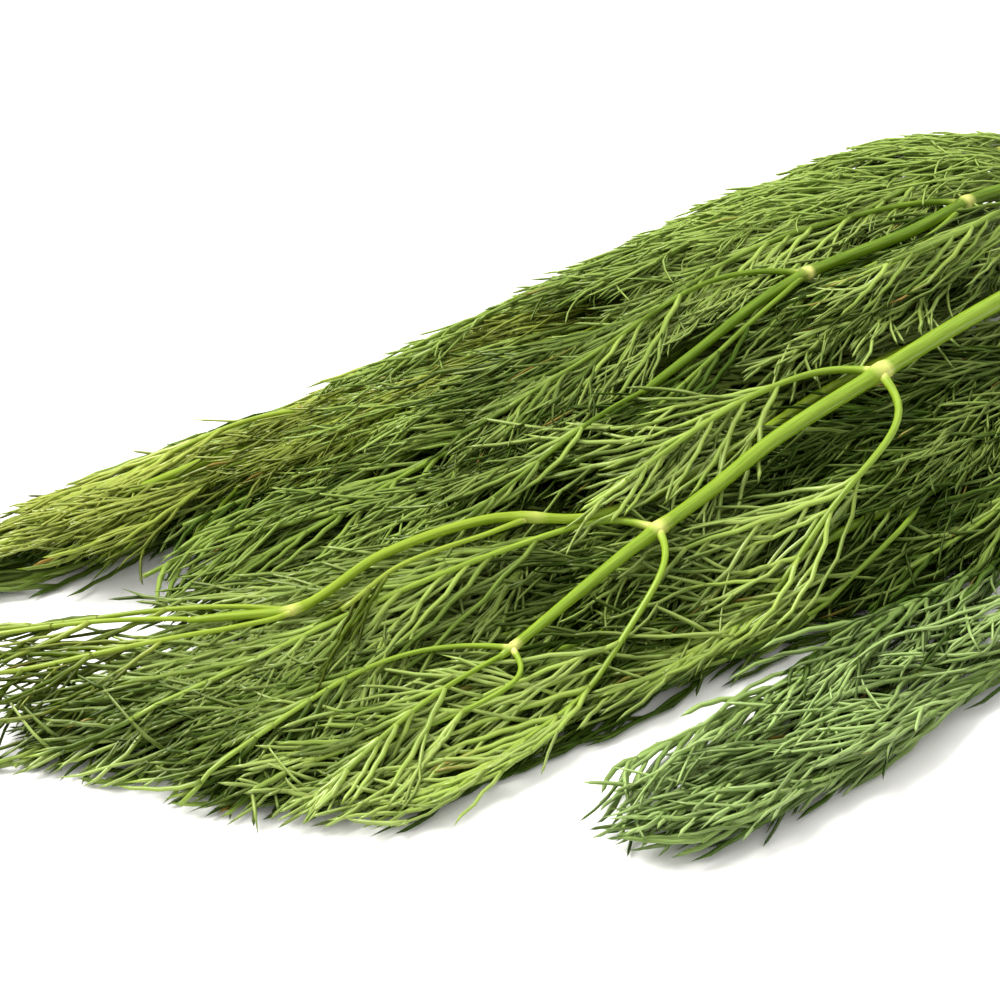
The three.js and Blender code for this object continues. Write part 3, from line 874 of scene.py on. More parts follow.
@dataclass(frozen=True)
class Finish:
    """The skin of one kind of dill: its colours in linear light, and its gloss."""

    name: str
    leaf_dark: Colour
    leaf_light: Colour
    stalk_dark: Colour
    stalk_light: Colour
    node: Colour = (0.70, 0.68, 0.20)
    dry: Colour = (0.26, 0.15, 0.025)
    roughness: float = 0.4
    roughness_range: float = 0.3
    gloss: float = 0.6
    shaded_gloss: float = 0.15
    stalk_matt: float = 0.15
    streak: float = 0.42

    def add(self, tree: NodeTree, kind: str, settings: dict, inputs: dict) -> Node:
        """Add one node.

        Args:
            tree: The material's nodes.
            kind: The node's type.
            settings: Its settings by name.
            inputs: Its sockets' values or links, by name or number.

        Returns:
            The node.
        """
        node = tree.nodes.new(kind)
        for name, value in settings.items():
            setattr(node, name, value)
        for name, value in inputs.items():
            if isinstance(value, Signal):
                tree.links.new(value.socket, node.inputs[name])
            elif isinstance(value, NodeSocket):
                tree.links.new(value, node.inputs[name])
            else:
                node.inputs[name].default_value = value
        return node

    def mixed(self, tree: NodeTree, share: Signal, first: object, second: object) -> object:
        """Mix two colours.

        Args:
            tree: The material's nodes.
            share: The second colour's share.
            first: A colour or a link.
            second: A colour or a link.

        Returns:
            The link of the mixture.
        """
        paints = [(*paint, 1.0) if isinstance(paint, tuple) else paint for paint in (first, second)]
        inputs = {0: share, 6: paints[0], 7: paints[1]}
        return self.add(tree, "ShaderNodeMix", {"data_type": "RGBA"}, inputs).outputs[2]

    def material(self) -> Material:
        """Build the finish.

        Returns:
            The material.
        """
        made = bpy.data.materials.new(self.name)
        made.use_nodes = True
        tree = made.node_tree
        tree.nodes.clear()
        mark = self.add(tree, "ShaderNodeAttribute", {"attribute_name": MARKS}, {})
        parts = self.add(tree, "ShaderNodeSeparateColor", {}, {0: mark.outputs["Color"]})
        tone, pale, dry = (Signal(tree, parts.outputs[index]) for index in range(3))
        stalk = Signal(tree, mark.outputs["Alpha"])
        grain = self.add(tree, "ShaderNodeAttribute", {"attribute_name": GRAIN}, {})
        wave = {"Vector": grain.outputs["Vector"], "Scale": 1.0, "Detail": 2.0}
        streak = Signal(tree, self.add(tree, "ShaderNodeTexNoise", {}, wave).outputs[0])
        # light is the tone with its streaks; the tone holds painted shade, so the mix towards leaf_dark
        # paints shade too
        light = (tone + (streak - 0.5) * self.streak * 2).clamped()
        leaf = self.mixed(tree, light, self.leaf_dark, self.leaf_light)
        stem = self.mixed(tree, light, self.stalk_dark, self.stalk_light)
        green = self.mixed(tree, stalk, leaf, stem)
        aged = self.mixed(tree, dry, green, self.dry)
        colour = self.mixed(tree, pale, aged, self.node)
        rough = streak * self.roughness_range + (self.roughness - self.roughness_range / 2)
        relief = {"Strength": 0.25, "Distance": 0.0001, "Height": streak}
        bump = self.add(tree, "ShaderNodeBump", {}, relief)
        coat = (light * (1 - self.shaded_gloss) + self.shaded_gloss) * self.gloss
        skin = self.add(tree, "ShaderNodeBsdfPrincipled", {}, {
            "Base Color": colour,
            "Roughness": rough.clamped(),
            "Normal": bump.outputs[0],
            "Specular IOR Level": 0.06,
            "Coat Weight": coat * (1 - stalk * self.stalk_matt),
            "Coat Roughness": 0.26,
            "Coat IOR": 1.65,
            "Subsurface Weight": 0.12,
            "Subsurface Radius": (0.4, 0.8, 0.15),
            "Subsurface Scale": 0.001,
        })
        self.add(tree, "ShaderNodeOutputMaterial", {}, {0: skin.outputs[0]})
        return made


FINISHES = {
    Kind.FRESH: Finish(
        "fresh_skin", (0.022, 0.041, 0.001), (0.288, 0.380, 0.086),
        (0.040, 0.090, 0.001), (0.290, 0.430, 0.024),
    ),
    # The deep green is darker partly as its own colour and partly as painted shade, as most of its stems
    # lie low in the heap.
    Kind.DEEP: Finish(
        "deep_skin", (0.017, 0.034, 0.001), (0.255, 0.348, 0.070),
        (0.040, 0.090, 0.002), (0.210, 0.325, 0.020), gloss=0.4,
    ),
    Kind.BLUE: Finish(
        "blue_skin", (0.016, 0.034, 0.001), (0.330, 0.455, 0.150),
        (0.060, 0.125, 0.008), (0.240, 0.365, 0.060), roughness=0.5,
    ),
    Kind.YELLOW: Finish(
        "yellow_skin", (0.034, 0.047, 0.001), (0.320, 0.365, 0.058),
        (0.095, 0.170, 0.002), (0.330, 0.445, 0.028),
    ),
}


def placed(name: str, data: ID) -> Object:
    """Put a new object into the scene.

    Args:
        name: Its name.
        data: Its mesh, light or camera.

    Returns:
        The object.
    """
    made = bpy.data.objects.new(name, data)
    bpy.context.scene.collection.objects.link(made)
    return made


# ---- one leafy stem ----

# Seeds that keep apart the grain of sprigs and leaves, and the draws of side ribs from those of leaves.
SPRIG_KEYS = 1000
LEAF_KEYS = 10
RIB_KEY = 5

STEM_TUBE = Tube(18, 150, pointed=False, ridge=0.045)
RIB_TUBE = Tube(9, 30, pointed=False, ridge=0.06)

RIB_ORDER = Order(
    Tube(6, 9, pointed=True), (0, 0.1, 0.22, 0.35, 0.48, 0.61, 0.74, 0.87, 1), (0.60, 0.38), 0.4,
    zigzag=0.008,
)
SPRAY_ORDER = Order(
    Tube(4, 6, pointed=True), (0, 0.24, 0.44, 0.64, 0.84, 1), (0.45, 0.32), 0.15,
    together=2, spacing=4.8, length=29, taper=0.5, angle=29, forward=0.35, curl=0.18,
    zigzag=0.015,
)
THREAD_ORDER = Order(
    Tube(3, 5, pointed=True), (0, 0.3, 0.6, 0.86, 1), (0.40, 0.27), 0.05,
    spacing=5.0, length=17, taper=0.3, angle=31, forward=0.2, curl=0.3, zigzag=0.004,
)


@dataclass(frozen=True)
class Habit:
    """How leaves and their side ribs grow on every stem, drawn from ranges as in the solids."""

    places: Span = (-0.8, 0.8)
    lengths: Span = (0.9, 1.08)
    spreads: Span = (0.75, 1.25)
    bend: float = 9.0
    bends: Span = (0.7, 1.4)
    fall: float = 55.0
    falls: Span = (0.7, 1.2)
    drifts: Span = (0.0, 0.1)
    rest: float = 0.45
    rests: Span = (0.7, 1.4)
    shortening: float = 0.1
    tip_gap: float = 1.5
    tip_share: float = 0.62
    tip_spread: float = 0.6
    tip_fall: float = 40.0
    first_rib: float = 0.4
    partner_gap: float = 0.5
    rib_share: float = 0.45
    rib_taper: float = 0.62
    rib_lengths: Span = (0.85, 1.1)
    rib_angle: float = 28.0
    rib_closing: float = 0.4
    rib_angles: Span = (0.8, 1.15)
    rib_tilts: Span = (-0.7, 0.7)
    rib_floors: Span = (0.1, 1.2)
    rib_tops: Span = (0.4, 1.6)
    rib_sweep: float = 0.2
    rib_inset: float = 1.0
    rib_insets: float = 2.0
    beside: float = 0.02


HABIT = Habit()


@dataclass
class Leaf:
    """One grown leaf: its midrib, the number of its line, its draws and how dry it is."""

    place: int
    plan: LeafPlan
    midrib: Midrib
    number: int
    rng: Generator
    dryness: float = 0.0


@dataclass
class Sprig:
    """One leafy stem, with its leaves down to the leaflets."""

    plan: SprigPlan
    owner: int
    neighbours: Neighbours
    shift: Array
    stem: Stem = field(init=False)
    leaves: list[Leaf] = field(default_factory=list)
    skins: list[Skin] = field(default_factory=list)
    # The solid's own lines, and the ways that a leaf tries past its neighbours.
    stem_step: float = 40.0
    sheath_growth: float = 1.3
    sheath_run: float = 3.2
    rib_rings: tuple[float, ...] = (0, 0.07, 0.18, 0.42, 0.7, 1)
    squeezes: tuple[float, ...] = (1, 0.85, 1.15, 0.7, 1.3)
    lifts: tuple[float, ...] = (0, 1.6, -1.6, 3.2, -3.2, 5)
    # The stem's and the stalks' skin: how they swell, thin out and pale.
    round_share: float = 0.95
    swelling: float = 0.3
    swelling_run: float = 2.4
    pale_strength: float = 0.95
    pale_offset: float = 0.2
    pale_run: float = 0.75
    tip_thinning: float = 0.4
    tip_run: float = 3.0
    clasp_flare: float = 0.45
    clasp_run: float = 0.6
    rib_round_share: float = 0.92
    rib_crowding: float = 1.5
    stalk_tone: float = 0.12
    stalk_tones: float = 0.06
    tip_stalk: float = 0.5
    # The foliage: how dry, how dark, how thin and how ragged it is, and how it keeps off the lines.
    dryness: Span = (-0.45, 0.28)
    driest: float = 0.8
    withered: float = 0.01
    withering: Span = (0.3, 1.0)
    dry_from: float = 0.45
    rib_tones: float = 0.18
    leaf_tones: float = 0.22
    # Painted shade: a strand is made darker the lower it lies in its layer.
    shade: float = 0.85
    tip_shade: float = 0.2
    width_fall: float = 1.3
    widths: Span = (0.8, 1.2)
    point: float = 0.05
    lace: float = 7.0
    lace_gaps: float = 0.4
    overhang: float = 1.0
    raggedness: float = 9.0
    chances: Span = (37.0, 91.0)
    looked_at: tuple[float, ...] = (0.3, 0.5, 0.7, 0.85, 1.0)
    free_above: float = 0.3
    free_beside: float = 0.2
    raises: int = 2
    raise_step: float = 1.6
    steepest: float = 0.32

    def __post_init__(self) -> None:
        """Take the room of the stem itself."""
        self.stem = Stem(self.plan)
        x, growth = np.array(self.stations()).T
        radii = self.stem.radius(x) * growth
        self.number = self.neighbours.add(self.owner, self.stem.points(x), radii)

    def node_places(self) -> list[float]:
        """Return the places along the stem where leaves stand."""
        return list(dict.fromkeys([*self.plan.nodes, *(leaf.x for leaf in self.plan.leaves)]))

    def stations(self) -> list[Span]:
        """Place the solid stem's rings.

        Returns:
            Their x and their swelling, from the cut end.
        """
        nodes = self.node_places()
        span = self.stem.cut - self.stem.tip
        count = math.ceil(span / self.stem_step)
        found = []
        for index in range(count + 1):
            x = self.stem.tip + span * index / count
            apart = all(abs(node - x) > self.stem_step / 2 for node in nodes)
            if index in (0, count) or apart:
                found.append((x, 1.0))
        for node in nodes:
            found += [(node - self.sheath_run, 1.0), (node, self.sheath_growth)]
            found.append((node + self.sheath_run, 1.0))
        return sorted(found, reverse=True)

    def leaf_plans(self) -> list[LeafPlan]:
        """Plan the leaves: a pair at each node, and one that carries on from the tip.

        Returns:
            The plans.
        """
        plans = list(self.plan.leaves)
        longest = self.plan.leaf_length
        outward = sorted(self.plan.nodes, reverse=True)
        for node, x in enumerate(self.plan.nodes):
            for side in (1, -1):
                draws = Draws(self.owner, node, side + 1)
                plans.append(LeafPlan(
                    x=x + draws.between(*HABIT.places),
                    side=side,
                    length=longest * (1 - HABIT.shortening * node) * draws.between(*HABIT.lengths),
                    spread=self.plan.spread * draws.between(*HABIT.spreads),
                    bend=HABIT.bend * draws.between(*HABIT.bends),
                    fall=HABIT.fall * draws.between(*HABIT.falls),
                    drift=draws.between(*HABIT.drifts),
                    rest=HABIT.rest * draws.between(*HABIT.rests),
                    tone=self.plan.tip_tone * outward.index(x) / len(outward),
                ))
        plans.append(LeafPlan(
            x=self.stem.tip + HABIT.tip_gap,
            side=1,
            length=self.plan.tip_leaf or HABIT.tip_share * longest,
            spread=HABIT.tip_spread,
            bend=HABIT.bend,
            fall=HABIT.tip_fall,
            clasp=0.0,
            tone=self.plan.tip_tone,
        ))
        return plans

    def grow_midribs(self) -> None:
        """Lay each leaf's stalk and midrib the first way that stands clear of what lies there."""
        shares = np.array(self.rib_rings)
        for place, plan in enumerate(self.leaf_plans()):
            for squeeze, lift in product(self.squeezes, self.lifts):
                midrib = Midrib(self.stem, plan, lift, squeeze)
                points = midrib.points(shares)
                radii = midrib.radii(shares)
                if self.neighbours.is_clear(self.owner, self.number, points, radii):
                    number = self.neighbours.add(self.owner, points, radii)
                    rng = np.random.default_rng([SEED, self.owner, place])
                    self.leaves.append(Leaf(place, plan, midrib, number, rng))
                    break

    def build_stem(self) -> None:
        """Model the stem: ridged, swollen and pale at its nodes, and cut square at its end."""
        x = np.linspace(self.stem.tip, self.stem.cut, len(set(STEM_TUBE.ring)))
        gap = x[:, None] - np.array(self.node_places())[None, :]
        swelling = 1 + self.swelling * np.exp(-((gap / self.swelling_run) ** 2)).sum(axis=1)
        near = (gap - self.pale_offset) / (self.pale_run * self.stem.radius(x)[:, None])
        pale = np.clip(self.pale_strength * np.exp(-(near**2)).sum(axis=1), 0, 1)
        radii = self.stem.radius(x) * self.round_share * swelling
        radii = radii * (1 - self.tip_thinning * np.exp(-(x - self.stem.tip) / self.tip_run))
        painted = marks(len(x), self.plan.stem_tone, pale, 0.0, 1.0)
        line = Lines(self.stem.points(x)[None], radii[None], painted)
        self.skins.append(STEM_TUBE.lay(line, self.owner * SPRIG_KEYS))

    def build_leaf(self, leaf: Leaf) -> int:
        """Model one leaf: its stalk and midrib, and three orders of shoots that leave it.

        Args:
            leaf: The grown leaf.

        Returns:
            The number of threads on it.
        """
        key = self.owner * SPRIG_KEYS + leaf.place * LEAF_KEYS
        self.skins.append(RIB_TUBE.lay(self.midrib_line(leaf), key + 1))
        leaf.dryness = np.clip(leaf.rng.normal(*self.dryness), 0, self.driest)
        shoots = self.side_ribs(leaf)
        self.skins.append(self.laid(shoots, RIB_ORDER, leaf, key + 2))
        threads = 0
        for step, order in enumerate((SPRAY_ORDER, THREAD_ORDER)):
            shoots = grow_shoots(self.plan, self.stem, shoots, order, leaf.rng, self.ceiling(leaf))
            shoots = self.clear(shoots, leaf, fine=True)
            threads += len(shoots)
            self.skins.append(self.laid(shoots, order, leaf, key + 3 + step))
        return threads

    def ceiling(self, leaf: Leaf) -> float:
        """Return how much of the layer's height a leaf's shoots may fill."""
        return leaf.plan.ceiling or self.plan.ceiling

    def midrib_line(self, leaf: Leaf) -> Lines:
        """Lay out a leaf's stalk and midrib, flared and pale where it clasps the stem.

        Args:
            leaf: The leaf.

        Returns:
            The line, as the only one of its set.
        """
        shares = np.linspace(0, 1, len(set(RIB_TUBE.ring))) ** self.rib_crowding
        places = leaf.midrib.points(shares)
        run = np.concatenate([[0.0], np.cumsum(np.linalg.norm(np.diff(places, axis=0), axis=1))])
        base = float(self.stem.radius(leaf.plan.x))
        flare = leaf.plan.clasp * self.clasp_flare * np.exp(-run / self.sheath_run)
        radii = leaf.midrib.radii(shares) * (1 + flare) * self.rib_round_share
        pale = leaf.plan.clasp * np.exp(-(((run - base) / (self.clasp_run * base)) ** 2))
        tone = self.plan.stem_tone + self.stalk_tone + leaf.rng.normal(0, self.stalk_tones)
        stalk = 1 - (1 - self.tip_stalk) * shares
        painted = marks(len(run), tone, np.clip(pale, 0, 1), 0.0, stalk)
        return Lines(places[None], radii[None], painted)

    def side_ribs(self, leaf: Leaf) -> Shoots:
        """Grow a leaf's side ribs: the solid's own, each with partners beside and across from it.

        Args:
            leaf: The leaf.

        Returns:
            The side ribs that stand clear.
        """
        count = math.floor(leaf.plan.length / self.plan.rib_spacing + 0.5)
        found = []
        for rib, partner in product(range(-self.plan.early, count), range(self.plan.partners)):
            height = (rib + HABIT.first_rib + HABIT.partner_gap * (partner // 2)) / count
            draws = Draws(self.owner, leaf.place, rib, RIB_KEY + partner)
            side = -1 if (rib + partner) % 2 else 1
            fullness = leaf.plan.length * HABIT.rib_share * (1 - HABIT.rib_taper * height)
            length = fullness * draws.between(*HABIT.rib_lengths)
            turn = math.radians(HABIT.rib_angle * (1 - HABIT.rib_closing * height))
            turn = turn * draws.between(*HABIT.rib_angles)
            tilt = draws.between(*HABIT.rib_tilts)
            margins = draws.between(*HABIT.rib_floors), draws.between(*HABIT.rib_tops)
            found.append(self.side_rib(leaf, height, side * length, turn, tilt, margins))
        start, reach, sweep, rise, comb = (np.array(column) for column in zip(*found))
        tone = self.plan.tone + leaf.plan.tone + leaf.rng.normal(0, self.rib_tones, len(found))
        tone = tone + leaf.rng.normal(0, self.leaf_tones)
        lead = np.where(leaf.rng.random(len(found)) < 0.5, -1.0, 1.0)
        zigzag = side_frame(unit(reach))[0] * (lead * RIB_ORDER.zigzag)[:, None]
        zigzag = zigzag * np.linalg.norm(reach, axis=1)[:, None]
        ribs = Shoots(start, reach, sweep, zigzag, rise, comb, tone, lead, RIB_ORDER.rings)
        return self.clear(ribs, leaf, fine=False)

    def side_rib(
        self, leaf: Leaf, height: float, length: float, turn: float, tilt: float, margins: Span
    ) -> tuple[Array, Array, Array, float, Array]:
        """Grow one side rib.

        Args:
            leaf: The leaf that it grows on.
            height: Where on the leafy part of the midrib it stands, as a share.
            length: Its length, below 0 on the right.
            turn: Its angle from the midrib.
            tilt: How far it leaves the leaf's own surface, as an angle.
            margins: What it keeps clear of the layers below and above.

        Returns:
            Its start, reach, sweep and rise, and the direction of the midrib there.
        """
        share = leaf.plan.bare + (1 - leaf.plan.bare) * height
        ends = np.clip([share - HABIT.beside, share, share + HABIT.beside], 0, 1)
        behind, start, ahead = leaf.midrib.points(ends)
        along = unit(ahead - behind)
        across = unit(np.array([along[1], -along[0], 0.0]))
        side, length = math.copysign(1, length), abs(length)
        upward = np.cross(across, along)
        direction = along * math.cos(turn) + across * side * math.sin(turn) * math.cos(tilt)
        reach = (direction + upward * math.sin(turn) * math.sin(tilt)) * length
        sweep = along * length * HABIT.rib_sweep
        end = start + reach + sweep
        inset = HABIT.rib_inset + HABIT.rib_insets * margins[0]
        sweep[1] += float(self.plan.inward(end[0], end[1], inset))
        end = start + reach + sweep
        low, high = self.stem.room(end[0], end[1])
        floor = max(float(low) + margins[0], HEAP.table_gap + HEAP.clearance)
        top = max(floor, float(low + (high - low) * self.ceiling(leaf)) - margins[1])
        return start, reach, sweep, float(np.clip(end[2], floor, top)) - start[2], along

    def clear(self, shoots: Shoots, leaf: Leaf, fine: bool) -> Shoots:
        """Keep the shoots that run into nothing, arched over what lies in their way if need be.

        Args:
            shoots: The shoots.
            leaf: The leaf that they grow on.
            fine: Whether they are the finest ones, which leave the heap's edge ragged.

        Returns:
            The shoots that are kept.
        """
        shares = np.array(self.looked_at)
        x, y = (shoots.start + shoots.reach + shoots.sweep)[:, :2].T
        reach_chance, lace_chance = (shoots.tone * factor % 1.0 for factor in self.chances)
        inset = self.plan.inset + HEAP.lobes(x) if fine else 0.0
        overhang = self.overhang + self.raggedness * reach_chance**2
        inside = self.plan.inward(x, y, inset - overhang) == 0
        fringe = fine & (self.plan.inward(x, y, inset + self.lace) != 0)
        if fine and self.plan.route[0][2] > HEAP.hollow_level:
            inside = inside & ~HEAP.in_hollow(shoots.points(shares)).any(axis=1)
        shoots = shoots.kept(inside & ~(fringe & (lace_chance < self.lace_gaps)))
        room = self.neighbours
        above = room.pierced(shoots.points(shares), self.free_above, leaf.number, self.owner)
        shoots = shoots.kept(~above)
        steepest = np.maximum(shoots.rise, self.steepest * shoots.length)
        for _ in range(self.raises if self.plan.covered else 0):
            hit = room.pierced(shoots.points(shares), self.free_beside, leaf.number)
            shoots.rise = np.minimum(shoots.rise + np.where(hit, self.raise_step, 0.0), steepest)
        return shoots.kept(~room.pierced(shoots.points(shares), self.free_beside, leaf.number))

    def laid(self, shoots: Shoots, order: Order, leaf: Leaf, key: int) -> Skin:
        """Lay the tubes of one order of shoots.

        Args:
            shoots: The shoots.
            order: Their order.
            leaf: The leaf that they grow on.
            key: Seed of their grain.

        Returns:
            Their skin.
        """
        shares = np.array(order.rings)
        single = (len(shoots), 1)
        rng = leaf.rng
        thick = (1.0 if order is RIB_ORDER else self.plan.girth) * rng.uniform(*self.widths, single)
        root, tip = order.widths
        radii = (root + (tip - root) * shares[None, :] ** self.width_fall) * thick
        radii[:, -1] = self.point
        withered = (rng.random(single) < self.withered) * rng.uniform(*self.withering, single)
        tips = smoothstep((shares[None, :] - self.dry_from) / (1 - self.dry_from))
        dry = np.clip((withered + leaf.dryness * rng.random(single)) * tips, 0, 1)
        places = shoots.points(shares)
        low, high = self.stem.room(places[..., 0], places[..., 1])
        height = np.clip((places[..., 2] - low) / (high - low), 0, 1)
        tone = shoots.tone[:, None] + self.tip_shade * (0.5 - shares[None, :])
        # Painted shade: the lower a point lies in its layer, the darker its tone.
        tone = np.clip(tone + self.shade * (height - 0.5), 0, 1)
        painted = marks(len(shares), tone, 0.0, dry, order.stalk)
        return order.tube.lay(Lines(places, radii, painted), key)

    def build(self) -> Object:
        """Model the whole leafy stem.

        Returns:
            The piece, which stands for the stem's node in the frame.
        """
        self.build_stem()
        threads = sum(self.build_leaf(leaf) for leaf in self.leaves)
        piece = self.joined()
        piece.data.materials.append(MATERIALS[self.plan.kind])
        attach(piece, "root")
        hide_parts(self.plan.name)
        faces = sum(int((skin.totals - 2).sum()) for skin in self.skins)
        LOG.info("%s: %d leaves, %d threads, %d triangles", piece.name, len(self.leaves), threads, faces)
        return piece

    def joined(self) -> Object:
        """Join the sprig's tubes in one mesh.

        Returns:
            The object with that mesh.
        """
        places = np.concatenate([skin.places for skin in self.skins])
        firsts = np.cumsum([0] + [len(skin.places) for skin in self.skins])
        corners = np.concatenate([skin.corners + at for skin, at in zip(self.skins, firsts)])
        totals = np.concatenate([skin.totals for skin in self.skins])
        mesh = bpy.data.meshes.new(self.plan.name + "_leafy")
        mesh.vertices.add(len(places))
        mesh.vertices.foreach_set("co", ((places + self.shift) * MM).astype(np.float32).ravel())
        mesh.loops.add(len(corners))
        mesh.loops.foreach_set("vertex_index", corners.astype(np.int32))
        mesh.polygons.add(len(totals))
        mesh.polygons.foreach_set("loop_start", (np.cumsum(totals) - totals).astype(np.int32))
        mesh.polygons.foreach_set("use_smooth", totals <= 4)
        mesh.update(calc_edges=True)
        paint = mesh.attributes.new(MARKS, "FLOAT_COLOR", "POINT")
        paint.data.foreach_set("color", self.stacked("marks"))
        grain = mesh.attributes.new(GRAIN, "FLOAT_VECTOR", "POINT")
        grain.data.foreach_set("vector", self.stacked("grain"))
        return placed(mesh.name, mesh)

    def stacked(self, name: str) -> Array:
        """Return what each vertex carries, for all of the sprig's tubes in a row."""
        return np.concatenate([getattr(skin, name) for skin in self.skins]).astype(np.float32).ravel()
